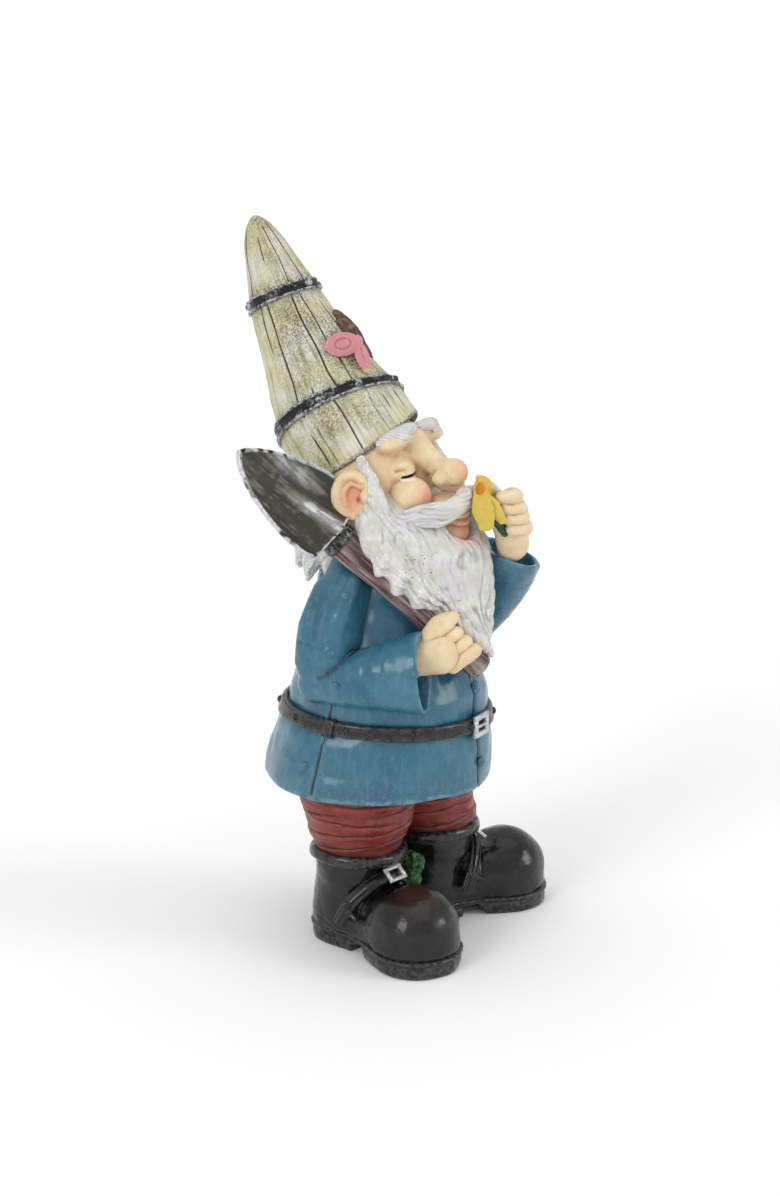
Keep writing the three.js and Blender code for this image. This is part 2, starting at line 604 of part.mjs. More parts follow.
// The origin is under the middle of the whole statue, on the ground.
const extent = new THREE.Box3().setFromObject(gnome);
const centre = extent.getCenter(V(0, 0, 0));
gnome.position.set(-centre.x, -centre.y, -extent.min.z);

export default gnome;
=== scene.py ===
"""Garden gnome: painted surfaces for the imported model, modelled piece by piece.

Shapes are worked out in millimetres in the statue's own frame: Z up, facing -Y, with the coat's
axis at X = 0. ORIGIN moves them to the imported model's frame. Soft sculpted shapes are made of
"clay", a grid of distances that strokes are added to and cut from. Turned and wrapped shapes are
lofts. Both carry a "relief" value, how deep each point lies under its surroundings, which the
paints use for dark wash in the hollows and dry-brushed highlights on the ridges.
"""
import itertools
import math

import bpy
import numpy as np
import openvdb
from mathutils import Matrix, Vector


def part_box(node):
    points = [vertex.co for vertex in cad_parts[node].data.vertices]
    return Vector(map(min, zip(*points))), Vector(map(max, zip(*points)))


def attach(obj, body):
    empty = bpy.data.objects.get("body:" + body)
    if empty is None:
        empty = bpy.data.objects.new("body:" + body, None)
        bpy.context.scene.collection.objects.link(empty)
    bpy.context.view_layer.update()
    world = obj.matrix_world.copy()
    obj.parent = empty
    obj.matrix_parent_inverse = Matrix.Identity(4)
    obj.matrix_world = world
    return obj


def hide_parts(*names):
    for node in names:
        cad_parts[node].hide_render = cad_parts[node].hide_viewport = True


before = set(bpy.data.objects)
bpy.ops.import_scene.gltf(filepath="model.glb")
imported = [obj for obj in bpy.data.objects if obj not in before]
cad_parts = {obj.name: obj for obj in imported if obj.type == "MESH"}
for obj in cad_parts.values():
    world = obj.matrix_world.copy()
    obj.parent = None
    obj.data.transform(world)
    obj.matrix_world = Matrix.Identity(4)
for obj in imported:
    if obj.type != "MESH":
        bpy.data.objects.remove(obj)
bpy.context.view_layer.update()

MM = 0.001
COAT_MIDDLE_Y = 8.0                     # middle of the coat's hem in the statue's own frame
coat_low, coat_high = (np.array(corner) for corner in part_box("coat"))
ORIGIN = np.array([(coat_low[0] + coat_high[0]) / 2,
                   (coat_low[1] + coat_high[1]) / 2 - COAT_MIDDLE_Y * MM, 0.0])


# ------------------------------------------------------------------ numbers and curves
def unit(vector):
    vector = np.asarray(vector, float)
    return vector / np.linalg.norm(vector)


def curve(points, places):
    """Smooth curve through evenly spaced points, at places from 0 to 1."""
    points = np.asarray(points, float)
    if points.ndim == 1:
        points = points[:, None]
    padded = np.vstack([2 * points[0] - points[1], points, 2 * points[-1] - points[-2]])
    place = np.clip(np.asarray(places, float), 0, 1) * (len(points) - 1)
    first = np.minimum(place.astype(int), len(points) - 2)
    t = (place - first)[..., None]
    a, b, c, d = (padded[first + k] for k in range(4))
    value = 0.5 * (2 * b + (c - a) * t + (2 * a - 5 * b + 4 * c - d) * t ** 2
                   + (3 * b - a - 3 * c + d) * t ** 3)
    return value[..., 0] if value.shape[-1] == 1 else value


def noise(points, size, seed=0):
    """Smooth random values from -1 to 1, in lumps of a size in mm, or one size per axis."""
    table = np.random.default_rng(seed).uniform(-1, 1, (32, 32, 32))
    place = np.asarray(points) / size
    cell = np.floor(place).astype(int)
    part = place - cell
    part = part * part * (3 - 2 * part)
    total = np.zeros(place.shape[:-1])
    for corner in itertools.product((0, 1), repeat=3):
        near = np.where(corner, part, 1 - part).prod(-1)
        i, j, k = np.moveaxis((cell + corner) & 31, -1, 0)
        total += near * table[i, j, k]
    return total


def groove(distance, width, depth):
    """A rounded groove's depth at a distance from its line."""
    return -depth * np.exp(-(distance / width) ** 2)


def turned_angle(angle):
    """An angle brought between -pi and pi."""
    return (angle + np.pi) % (2 * np.pi) - np.pi


def turns(count):
    """Evenly spaced angles all the way round."""
    return np.linspace(0, 2 * np.pi, count, endpoint=False)


def rotation(x=0, y=0, z=0):
    """A matrix that turns by degrees about X, then Y, then Z."""
    return np.array(Matrix.Rotation(math.radians(z), 3, "Z") @ Matrix.Rotation(math.radians(y), 3, "Y")
                    @ Matrix.Rotation(math.radians(x), 3, "X"))


def sheet(x, y):
    """Points of a flat sheet, for noise that runs along a surface."""
    return np.stack([x, y, 0 * x], -1)


# ------------------------------------------------------------------ shapes
class Shape:
    """Points in mm with quads and triangles that face outwards."""

    def __init__(self, points, quads=(), triangles=()):
        self.points = np.asarray(points, float)
        self.quads = np.asarray(quads, int).reshape(-1, 4)
        self.triangles = np.asarray(triangles, int).reshape(-1, 3)

    def edges(self):
        sides = [np.stack([faces[:, i], np.roll(faces, -1, 1)[:, i]], 1)
                 for faces in (self.quads, self.triangles) for i in range(faces.shape[1])]
        both = np.vstack(sides)
        return np.vstack([both, both[:, ::-1]])

    def normals(self):
        total = np.zeros_like(self.points)
        for faces in (self.quads, self.triangles):
            if not len(faces):
                continue
            corner = self.points[faces]
            across = np.cross(corner[:, 2] - corner[:, 0],
                              corner[:, -1] - corner[:, 1])
            for i, k in itertools.product(range(faces.shape[1]), range(3)):
                total[:, k] += np.bincount(faces[:, i], across[:, k], len(total))
        return total / np.maximum(np.linalg.norm(total, axis=1, keepdims=True), 1e-9)

    def smoothed(self, passes):
        """The points after a number of averaging passes over their neighbours."""
        start, end = self.edges().T
        count = np.maximum(np.bincount(start, minlength=len(self.points)), 1)
        soft = self.points.copy()
        for _ in range(passes):
            soft = np.stack([np.bincount(start, soft[end, k], len(soft)) / count
                             for k in range(3)], 1)
        return soft

    def pushed(self, amount):
        """The same shape with every point moved along its normal by an amount in mm."""
        self.points = self.points + self.normals() * np.asarray(amount)[..., None]
        return self

    def roughened(self, *layers):
        """The same shape pushed out by layers of noise, each (mm, size, seed)."""
        return self.pushed(sum(mm * noise(self.points, size, seed) for mm, size, seed in layers))

    def turn_over(self):
        """Makes all faces look the other way."""
        self.quads, self.triangles = self.quads[:, ::-1], self.triangles[:, ::-1]

    def relief(self, passes=10):
        """How deep every point lies under its surroundings, in mm."""
        return ((self.smoothed(passes) - self.points) * self.normals()).sum(1)


def merged(shapes):
    points, quads, triangles, start = [], [], [], 0
    for shape in shapes:
        points.append(shape.points)
        quads.append(shape.quads + start)
        triangles.append(shape.triangles + start)
        start += len(shape.points)
    return Shape(np.vstack(points), np.vstack(quads), np.vstack(triangles))


def loft(rows):
    """A closed skin over rings of points. The first and last ring are closed to their middles."""
    rows = np.asarray(rows, float)
    count, around = rows.shape[:2]
    index = np.arange(count * around).reshape(count, around)
    right = np.roll(index, -1, 1)
    quads = np.stack([index[:-1], right[:-1], right[1:], index[1:]], -1).reshape(-1, 4)
    low, high = count * around, count * around + 1
    triangles = np.vstack([
        np.stack([np.full(around, low), right[0], index[0]], 1),
        np.stack([np.full(around, high), index[-1], right[-1]], 1)])
    points = np.vstack([rows.reshape(-1, 3), rows[0].mean(0), rows[-1].mean(0)])
    return Shape(points, quads, triangles)


def for_loft(grid, before=0, first=0.0, ends=(0.0, 0.0)):
    """Values for a loft's points: rows before the grid, the grid itself and the closed ends."""
    return np.concatenate([np.full(before * grid.shape[1], first), grid.ravel(), ends])


def hoop(rows):
    """A closed ring: rows of a section, each running all the way round."""
    rows = np.asarray(rows, float)
    index = np.arange(rows.shape[0] * rows.shape[1]).reshape(rows.shape[:2])
    right, up = np.roll(index, -1, 1), np.roll(index, -1, 0)
    quads = np.stack([index, right, np.roll(right, -1, 0), up], -1).reshape(-1, 4)
    return Shape(rows.reshape(-1, 3), quads)


def dome(place, away, radius, height, lip=0.0):
    """A round stud on a surface at place, facing away."""
    turn = Vector((0, 0, 1)).rotation_difference(Vector(unit(away))).to_matrix()
    profile = [(radius, -height * 0.6), (radius, 0.05 * height)]
    if lip:
        profile += [(radius * 0.96, lip), (radius * 0.7, lip * 0.8)]
    profile += [(radius * 0.95 * math.cos(a), height * math.sin(a) + lip * 0.3)
                for a in np.linspace(0.25, 1.45, 6)]
    angle = turns(20)
    shape = loft([np.stack([r * np.cos(angle), r * np.sin(angle), 0 * angle + h], 1) for r, h in profile])
    shape.points = shape.points @ np.array(turn).T + place
    return shape


def wrapped(skin, level, section, half, count, dents):
    """A band around a skin. Its section is (place across, mm outwards) and its outside is dented."""
    angle, rows = turns(count), []
    for place, out in section:
        along = level(angle) + place * half
        rows.append(skin(angle, along, out + dents(skin(angle, along)) * (out > 0)))
    return hoop(rows)


def stud(skin, angle, level, out, *size):
    """A dome of a radius, height and lip on a skin, starting out mm away from it."""
    angle, level = np.array(angle), np.array(level, float)
    place = skin(angle, level, np.array(out))
    return dome(place, skin(angle, level, np.array(out + 2)) - place, *size)


# ------------------------------------------------------------------ clay
def soft_min(a, b, reach):
    near = np.clip(0.5 + 0.5 * (b - a) / reach, 0, 1)
    return b + (a - b) * near - reach * near * (1 - near)


def toward(grid, start, direction):
    """How far each point of a grid lies from a start in a direction."""
    return sum((axis - np.float32(first)) * np.float32(part)
               for axis, first, part in zip(grid, start, direction))


class Clay:
    """A grid of distances to a surface in mm, negative inside, that strokes change."""

    FAR = 40.0                              # a distance that counts as empty space

    def __init__(self, low, high, step=0.8):
        self.step, self.low = step, np.array(low, float)
        self.axes = [np.arange(a, b, step, dtype=np.float32) for a, b in zip(low, high)]
        self.field = np.full([len(axis) for axis in self.axes], self.FAR, np.float32)

    def window(self, low, high):
        cut = tuple(slice(*np.searchsorted(axis, ends))
                    for axis, ends in zip(self.axes, zip(low, high)))
        return cut, np.meshgrid(*(axis[part] for axis, part in zip(self.axes, cut)),
                                indexing="ij", sparse=True)

    def merge(self, cut, distance, blend, remove):
        part = self.field[cut]
        sign = -1 if remove else 1
        self.field[cut] = sign * soft_min(sign * part, distance, blend)

    def ball(self, middle, radii, blend=2.0, remove=False, turn=(0, 0, 0)):
        radii = np.broadcast_to(np.asarray(radii, float), 3)
        middle = np.asarray(middle, float)
        reach = radii.max() + blend * 2 + 2
        cut, grid = self.window(middle - reach, middle + reach)
        axes = rotation(*turn)
        local = [toward(grid, middle, axes[:, k]) / radii[k] for k in range(3)]
        level = np.sqrt(sum(part * part for part in local))
        slope = np.sqrt(sum((part / radius) ** 2 for part, radius in zip(local, radii))) + 1e-6
        self.merge(cut, level * (level - 1) / slope, blend, remove)

    def tube(self, points, radii, side=(1, 0, 0), blend=2.0, remove=False, parts=3):
        """A limb through points. Radii are numbers or (wide along side, deep) pairs."""
        radii = np.array([np.broadcast_to(radius, 2) for radius in radii], float)
        places = np.linspace(0, 1, (len(points) - 1) * parts + 1)
        spine = curve(points, places)
        sizes = np.stack([np.interp(places, np.linspace(0, 1, len(radii)), radii[:, k])
                          for k in (0, 1)], 1)
        reach = sizes.max() + blend * 2 + 2
        whole, _ = self.window(spine.min(0) - reach, spine.max(0) + reach)
        distance = np.full(self.field.shape, self.FAR, np.float32)
        for start, end, size, grown in zip(spine[:-1], spine[1:], sizes[:-1], sizes[1:]):
            cut, grid = self.window(np.minimum(start, end) - reach, np.maximum(start, end) + reach)
            ahead = end - start
            length = np.linalg.norm(ahead)
            ahead = ahead / length
            deep = unit(np.cross(ahead, side))
            along = toward(grid, start, ahead)
            x, y = toward(grid, start, np.cross(deep, ahead)), toward(grid, start, deep)
            t = np.clip(along / length, 0, 1)
            wide, thick = (size[k] + (grown[k] - size[k]) * t for k in (0, 1))
            x, y, z = x / wide, y / thick, (along - t * length) / np.minimum(wide, thick)
            level = np.sqrt(x * x + y * y + z * z)
            x, y, z = x / wide, y / thick, z / np.minimum(wide, thick)
            slope = np.sqrt(x * x + y * y + z * z) + 1e-6
            distance[cut] = np.minimum(distance[cut], level * (level - 1) / slope)
        self.merge(whole, distance[whole], blend, remove)

    def carve(self, points, radii, side=(1, 0, 0), blend=2.0, parts=3):
        """Cuts a limb away."""
        self.tube(points, radii, side, blend, True, parts)

    def plane(self, place, away, blend=0.5):
        """Cuts off everything past a plane."""
        grid = np.meshgrid(*self.axes, indexing="ij", sparse=True)
        self.field = -soft_min(-self.field, -toward(grid, place, unit(away)), blend)

    def shape(self):
        band = 3 * self.step
        grid = openvdb.FloatGrid(band)
        grid.copyFromArray(np.clip(self.field, -band, band).astype(np.float32))
        points, _, quads = grid.convertToPolygons(isovalue=0.0, adaptivity=0.0)
        return Shape(points * self.step + self.low, quads[:, :4])


# ------------------------------------------------------------------ paints
def srgb(red, green, blue):
    """A colour from 0 to 255 values, as Blender wants it."""
    parts = [value / 255 for value in (red, green, blue)]
    return [part / 12.92 if part <= 0.04045 else ((part + 0.055) / 1.055) ** 2.4
            for part in parts] + [1.0]


class Paint:
    """A painted surface: a stack of colours mixed by noise and by the values a mesh carries."""

    def __init__(self, name, colour, roughness=0.5, metallic=0.0, coat=0.0):
        self.material = bpy.data.materials.new(name)
        self.material.use_nodes = True
        self.nodes = self.material.node_tree.nodes
        self.links = self.material.node_tree.links
        self.shader = self.nodes["Principled BSDF"]
        self.shader.inputs["Metallic"].default_value = metallic
        self.shader.inputs["Coat Weight"].default_value = coat
        self.shader.inputs["Coat Roughness"].default_value = 0.15
        self.shader.inputs["Specular IOR Level"].default_value = 0.3
        self.roughness = roughness
        self.colour = srgb(*colour)
        self.height = None

    def node(self, kind, **inputs):
        node = self.nodes.new(kind)
        for name, value in inputs.items():
            self.feed(node.inputs[name.replace("_", " ")], value)
        return node

    def feed(self, socket, value):
        if isinstance(value, bpy.types.NodeSocket):
            self.links.new(value, socket)
        elif value is not None:
            socket.default_value = value

    def place(self, stretch=(1, 1, 1), turn=(0, 0, 0)):
        """Coordinates in mm."""
        where = self.node("ShaderNodeTexCoord")
        mapping = self.node("ShaderNodeMapping", Vector=where.outputs["Object"])
        mapping.inputs["Scale"].default_value = [1000 * part for part in stretch]
        mapping.inputs["Rotation"].default_value = [math.radians(part) for part in turn]
        return mapping.outputs[0]

    def noise(self, size, detail=3.0, stretch=(1, 1, 1), turn=(0, 0, 0), rough=0.55):
        """Noise with lumps of a size in mm. Values are around 0.5."""
        texture = self.node("ShaderNodeTexNoise", Vector=self.place(stretch, turn),
                            Scale=1 / size, Detail=detail, Roughness=rough)
        return texture.outputs["Fac"]

    def pits(self, size, share):
        """Round dots, one per cell of a size in mm. share is a dot's part of its cell."""
        texture = self.node("ShaderNodeTexVoronoi", Vector=self.place(), Scale=1 / size)
        return self.ramp(texture.outputs["Distance"], share, share * 0.5)

    def mark(self, name, low, high):
        """A value that the mesh carries, from 0 at low to 1 at high."""
        attribute = self.node("ShaderNodeAttribute")
        attribute.attribute_name = name
        return self.ramp(attribute.outputs["Fac"], low, high)

    def ramp(self, value, low, high, start=0.0, end=1.0):
        node = self.node("ShaderNodeMapRange", Value=value)
        for name, number in (("From Min", low), ("From Max", high), ("To Min", start),
                             ("To Max", end)):
            node.inputs[name].default_value = number
        return node.outputs[0]

    def times(self, first, second, kind="MULTIPLY"):
        node = self.nodes.new("ShaderNodeMath")
        node.operation = kind
        self.feed(node.inputs[0], first)
        self.feed(node.inputs[1], second)
        return node.outputs[0]

    def over(self, colour, amount):
        """Another colour on top, where amount is above 0."""
        mix = self.nodes.new("ShaderNodeMix")
        mix.data_type = "RGBA"
        self.feed(mix.inputs["Factor"], amount)
        self.feed(mix.inputs["A"], self.colour)
        self.feed(mix.inputs["B"], srgb(*colour))
        self.colour = mix.outputs["Result"]

    def patches(self, colour, size, low, high, strength=1.0, **kind):
        """Another colour where noise with lumps of a size in mm rises from low to high."""
        self.over(colour, self.ramp(self.noise(size, **kind), low, high, 0.0, strength))

    def wash(self, colour, low, high, grain=1.2, strength=1.0):
        """Dark paint left in the hollows, broken up by grain."""
        hollow = self.mark("relief", low, high)
        broken = self.ramp(self.noise(grain, 3), 0.25, 0.6, 0.35, strength)
        self.over(colour, self.times(hollow, broken))

    def brush(self, colour, low, high, grain=2.0, strength=0.8):
        """Light paint dragged over the ridges."""
        ridge = self.mark("relief", -low, -high)
        broken = self.ramp(self.noise(grain, 4), 0.4, 0.62, 0.0, strength)
        self.over(colour, self.times(ridge, broken))

    def bump(self, height, depth):
        """Fine relief, depth in mm."""
        node = self.node("ShaderNodeBump", Height=height, Strength=0.8, Distance=depth * MM)
        if self.height is not None:
            self.links.new(self.height, node.inputs["Normal"])
        self.height = node.outputs[0]
        return self

    def done(self, spread=0.12, size=9.0):
        """Links everything up. Roughness varies by spread over patches of a size in mm."""
        self.feed(self.shader.inputs["Base Color"], self.colour)
        low, high = self.roughness - spread, self.roughness + spread
        rough = self.ramp(self.noise(size, 4), 0.3, 0.7, max(low, 0.05), min(high, 1.0))
        self.feed(self.shader.inputs["Roughness"], rough)
        if self.height is not None:
            self.links.new(self.height, self.shader.inputs["Normal"])
        return self.material


def stave_paint():
    paint = Paint("stave_paint", (202, 199, 164), 0.55)
    paint.patches((208, 208, 192), 24, 0.45, 0.6, detail=2)
    paint.patches((188, 184, 132), 15, 0.5, 0.7, 0.8, turn=(20, 0, 0))
    paint.over((150, 144, 110), paint.mark("grain", 0.2, 0.9))
    # Dark smears and speckles near the bands and the bow, and painted shade along the rim's underside and
    # lower edge.
    smear = paint.ramp(paint.noise(7, 4), 0.4, 0.65, 0, 0.6)
    paint.over((104, 96, 76), paint.times(smear, paint.mark("soot_and_rim_shade", 0.1, 0.9)))
    speckle = paint.ramp(paint.noise(1.3, 4, rough=0.8), 0.48, 0.56)
    paint.over((58, 50, 40), paint.times(speckle, paint.mark("soot_and_rim_shade", 0.05, 0.8)))
    paint.wash((72, 58, 46), 0.05, 0.35, 1.5, 0.8)
    # Dark gaps between the staves; the same colour also paints shade on the rim's underside and lower edge.
    paint.over((54, 42, 34), paint.mark("crack", 0.15, 0.75))
    paint.brush((216, 215, 196), 0.06, 0.3, 1.6, 0.6)
    return paint.bump(paint.noise(0.8, 4, rough=0.7), 0.3).done()


def iron_paint(name="iron_paint", dark=(30, 30, 32), silver=(176, 178, 182)):
    paint = Paint(name, dark, 0.4, 0.25)
    paint.patches((52, 52, 56), 4, 0.5, 0.7, 0.8, detail=4)
    rubbed = paint.ramp(paint.noise(11, 5, rough=0.75), 0.53, 0.58, 0, 0.85)
    paint.over(silver, rubbed)
    paint.brush(silver, 0.14, 0.45, 2.0, 1.0)
    paint.wash((12, 11, 12), 0.04, 0.2, 1.5)
    return paint.bump(paint.noise(1.3, 4), 0.35).done(0.12, 4)


def bark_paint():
    paint = Paint("bark_paint", (84, 62, 52), 0.75)
    paint.patches((146, 130, 94), 5, 0.5, 0.7, 0.6, detail=4)
    paint.wash((32, 22, 18), 0.05, 0.35, 1.5)
    paint.brush((140, 118, 102), 0.1, 0.4)
    return paint.bump(paint.noise(0.9, 4), 0.5).done()


def bow_paint():
    paint = Paint("bow_paint", (192, 128, 134), 0.5)
    paint.patches((204, 144, 147), 5, 0.5, 0.7, 0.7)
    paint.over((200, 196, 132), paint.mark("tip", 0.0, 1.0))
    paint.wash((156, 66, 84), 0.06, 0.25, 1.0, 0.9)
    paint.brush((234, 172, 174), 0.06, 0.3, 1.5, 0.8)
    return paint.bump(paint.noise(0.7, 3), 0.15).done()


def skin_paint(name="skin_paint", base=(216, 195, 158)):
    paint = Paint(name, base, 0.45)
    paint.patches((230, 214, 180), 11, 0.45, 0.7, 0.6, detail=2)
    paint.patches((208, 174, 128), 8, 0.52, 0.72, 0.5, detail=4)
    paint.over((222, 138, 112), paint.mark("blush", 0.0, 1.25))
    paint.wash((168, 112, 66), 0.04, 0.4, 3.0, 0.9)
    paint.brush((238, 224, 192), 0.1, 0.5, 3.0, 0.5)
    paint.over((238, 232, 218), paint.mark("white", 0.0, 1.0))
    # Black for the eye slits; the same colour also paints shade into the ears' deepest hollows.
    paint.over((22, 17, 15), paint.mark("ink_and_shade", 0.0, 1.0))
    return paint.bump(paint.noise(1.0, 3), 0.1).done(0.08)


def hair_paint():
    paint = Paint("hair_paint", (196, 195, 190), 0.6)
    paint.patches((210, 210, 207), 9, 0.45, 0.65)
    paint.patches((196, 192, 208), 19, 0.54, 0.7, 0.6, detail=2, turn=(0, 30, 0))
    paint.patches((206, 200, 182), 14, 0.55, 0.75, 0.6, turn=(40, 0, 0))
    paint.over((222, 170, 150), paint.mark("blush", 0.0, 1.2))
    paint.over((170, 169, 168), paint.mark("strand", 0.2, 1.0))
    paint.wash((164, 163, 160), 0.05, 0.6, 2.0, 0.9)
    paint.wash((112, 110, 107), 0.6, 1.4, 1.5, 0.7)
    paint.brush((236, 236, 236), 0.08, 0.5, 1.6, 0.8)
    dots = paint.times(paint.pits(3.6, 0.16), paint.mark("holes", 0.25, 0.55))
    paint.over((36, 36, 42), dots)
    return paint.bump(paint.noise(0.9, 4, rough=0.7), 0.25).done()


def coat_paint():
    paint = Paint("coat_paint", (42, 98, 120), 0.32, coat=0.35)
    paint.patches((66, 118, 136), 26, 0.46, 0.68, 0.6)
    paint.patches((34, 82, 110), 30, 0.5, 0.68, 0.8, turn=(0, 0, 50))
    streak = paint.ramp(paint.noise(3.2, 5, (1, 1, 0.3), rough=0.65), 0.5, 0.72, 0, 0.35)
    paint.over((98, 140, 154), streak)
    # Grey rubbed streaks towards the hem and at random, and a painted highlight on the right shoulder's top,
    # where the key light falls.
    rubbed = paint.ramp(paint.noise(2.4, 5, (1, 1, 2.6), rough=0.7), 0.52, 0.64)
    paint.over((104, 106, 108), paint.times(rubbed, paint.mark("wear_and_highlight", 0.0, 1.0)))
    paint.wash((20, 46, 60), 0.05, 0.4, 3.0)
    paint.over((46, 42, 42), paint.mark("seam", 0.2, 0.8))
    paint.brush((120, 156, 166), 0.15, 0.9, 5.0, 0.5)
    paint.over((34, 34, 36), paint.times(paint.pits(13, 0.045), 0.8))
    return paint.bump(paint.noise(2.2, 4), 0.15).bump(paint.noise(0.8, 2), 0.05).done(0.1)


def leather_paint(name="boot_paint", base=(15, 15, 16), roughness=0.26):
    paint = Paint(name, base, roughness, coat=0.25)
    paint.patches((30, 30, 31), 16, 0.48, 0.7, 0.7, detail=4)
    paint.over((66, 44, 34), paint.mark("scuff", 0.0, 1.4))
    paint.brush((84, 84, 86), 0.15, 0.6, 3.0, 0.5)
    paint.wash((9, 9, 9), 0.05, 0.3, 2.0)
    return paint.bump(paint.noise(1.6, 4), 0.12).bump(paint.noise(6, 2), 0.3).done(0.14, 7)


def silver_paint():
    paint = Paint("silver_paint", (176, 180, 182), 0.36, 0.5)
    paint.patches((140, 142, 146), 2.2, 0.5, 0.7, detail=4)
    paint.wash((36, 36, 38), 0.04, 0.2, 1.0)
    paint.brush((220, 222, 222), 0.05, 0.2, 1.5)
    return paint.bump(paint.noise(0.7, 3), 0.15).done()


def blade_paint():
    paint = Paint("blade_paint", (62, 60, 54), 0.38, 0.3)
    paint.over((26, 25, 24), paint.mark("streak", 0.0, -0.5))
    paint.over((106, 102, 90), paint.mark("streak", 0.15, 0.8))
    shine = paint.times(paint.mark("bright", 0.15, 0.8), paint.mark("streak", -0.25, 0.25))
    paint.over((204, 205, 204), shine)
    specks = paint.ramp(paint.noise(1.6, 4, rough=0.75), 0.58, 0.64)
    paint.over((30, 28, 27), paint.times(specks, paint.mark("bright", 0.1, 0.9)))
    paint.wash((22, 21, 19), 0.06, 0.35, 2.0)
    return paint.bump(paint.noise(1.4, 4), 0.2).done(0.1, 5)


def handle_paint():
    paint = Paint("handle_paint", (112, 94, 94), 0.6)
    paint.over((66, 48, 45), paint.mark("grain", 0.0, -0.6))
    paint.over((156, 144, 141), paint.mark("grain", 0.2, 1.0))
    paint.over((98, 54, 46), paint.mark("edge", 0.0, 1.0))
    paint.wash((58, 40, 36), 0.04, 0.3, 1.4)
    paint.brush((188, 178, 174), 0.1, 0.4, 1.5, 0.5)
    return paint.bump(paint.noise(0.8, 4), 0.25).done()


def flower_paint():
    paint = Paint("flower_paint", (202, 178, 86), 0.6)
    paint.patches((196, 166, 58), 4, 0.48, 0.7, 0.8, detail=4)
    paint.over((206, 142, 42), paint.mark("throat", 0.0, 1.0))
    paint.wash((120, 86, 34), 0.08, 0.45, 1.5, 0.9)
    paint.brush((230, 212, 122), 0.08, 0.4, 2.0, 0.6)
    return paint.bump(paint.noise(0.9, 3), 0.2).done()


def stem_paint(name="stem_paint", base=(44, 70, 54), light=(100, 122, 102)):
    paint = Paint(name, base, 0.7)
    paint.patches(light, 2.4, 0.55, 0.72, 0.7, detail=4)
    paint.wash((18, 30, 24), 0.04, 0.3, 1.2)
    paint.brush(light, 0.06, 0.4, 1.4, 0.9)
    return paint.bump(paint.noise(0.8, 3), 0.3).done()


def trouser_paint():
    paint = Paint("trouser_paint", (120, 42, 36), 0.36)
    paint.patches((134, 54, 45), 18, 0.46, 0.66, 0.7)
    paint.patches((92, 32, 28), 12, 0.5, 0.68, 0.8, turn=(0, 0, 40))
    smear = paint.ramp(paint.noise(3.0, 5, (1, 1, 0.5), rough=0.7), 0.4, 0.6)
    paint.over((78, 64, 60), paint.times(smear, paint.mark("dust", 0.0, 1.0)))
    paint.wash((60, 22, 20), 0.05, 0.4, 2.0, 0.9)
    paint.over((44, 16, 16), paint.mark("crack", 0.3, 0.9))
    paint.brush((156, 82, 70), 0.08, 0.4, 3.0, 0.6)
    return paint.bump(paint.noise(2.0, 4), 0.15).done(0.1)


# ------------------------------------------------------------------ pieces
def add_object(name, data):
    thing = bpy.data.objects.new(name, data)
    bpy.context.scene.collection.objects.link(thing)
    return thing


def piece(name, shape, material, nodes, marks=None, passes=10):
    """One painted piece that stands for CAD nodes. marks are values for the paint, by name."""
    mesh = bpy.data.meshes.new(name)
    points = shape.points * MM + ORIGIN
    mesh.vertices.add(len(points))
    mesh.vertices.foreach_set("co", points.ravel())
    corners = np.concatenate([shape.quads.ravel(), shape.triangles.ravel()])
    sizes = np.concatenate([np.full(len(shape.quads), 4), np.full(len(shape.triangles), 3)])
    mesh.loops.add(len(corners))
    mesh.loops.foreach_set("vertex_index", corners.astype(np.int32))
    mesh.polygons.add(len(sizes))
    mesh.polygons.foreach_set("loop_start", (np.cumsum(sizes) - sizes).astype(np.int32))
    mesh.update(calc_edges=True)
    mesh.validate()
    mesh.shade_smooth()
    values = {"relief": shape.relief(passes), **(marks or {})}
    for label, value in values.items():
        field = mesh.attributes.new(label, "FLOAT", "POINT")
        field.data.foreach_set("value", np.asarray(value, np.float32))
    mesh.materials.append(material)
    thing = add_object(name, mesh)
    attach(thing, "root")
    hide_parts(*nodes)


def closeness(points, place, reach):
    """1 at a place, falling to 0 a few reaches away. reach may differ per axis."""
    return np.exp(-(((points - np.asarray(place, float)) / reach) ** 2).sum(-1))


# ------------------------------------------------------------------ hat
HAT_SPINE = [(0, 24, 333), (0, 39, 352), (0, 53, 373), (0, 66, 395), (0, 79, 417), (0, 90, 440),
             (0, 101, 463), (0, 108, 479.5)]
HAT_RADII = [44.5, 43, 36.8, 30.6, 25.4, 19.9, 12.7, 5.5]
HAT_LENGTH, HAT_AROUND = 170.0, 400
HAT_RIM, HAT_UP = (0, 24, 333), (0, 15, 19)
HAT_ROUNDED = 6 / 7                      # where along the spine the tip starts to round off
RIM_EDGE = [(0.02, -6.0), (0.0, -4.5), (0.0, -0.6)]    # (along, mm outwards) from the inside out
UPPER_BAND, LOWER_BAND = 0.64, 0.165     # places along the spine
LOWER_TIP = math.radians(8)
FACETS = 15                              # flat patches around the hat
DROOP_AT, DROOP = math.radians(205), 13  # the rim hangs lowest over the right ear, by mm


def hat_radius(along):
    tip = np.clip((along - HAT_ROUNDED) / (1 - HAT_ROUNDED), 0, 1)
    return curve(HAT_RADII, along) * np.sqrt(np.clip(1 - tip ** 3, 0, 1))


def hat_skin(angle, along, out=0.0):
    """A point on the hat: angle 0 is its left, -90 degrees its front, along is 0 to 1."""
    along = np.asarray(along, float)
    middle = curve(HAT_SPINE, along)
    ahead = curve(HAT_SPINE, along + 0.005) - curve(HAT_SPINE, along - 0.005)
    ahead = ahead / np.linalg.norm(ahead, axis=-1, keepdims=True)
    back = np.cross(ahead, (1, 0, 0))
    radius = (hat_radius(along) + out)[..., None]
    return (middle + radius * (np.cos(angle)[..., None] * np.array((1, 0, 0))
                               + np.sin(angle)[..., None] * back))


def lower_band_level(angle):
    return LOWER_BAND - math.tan(LOWER_TIP) * np.cos(angle) * 43 / HAT_LENGTH


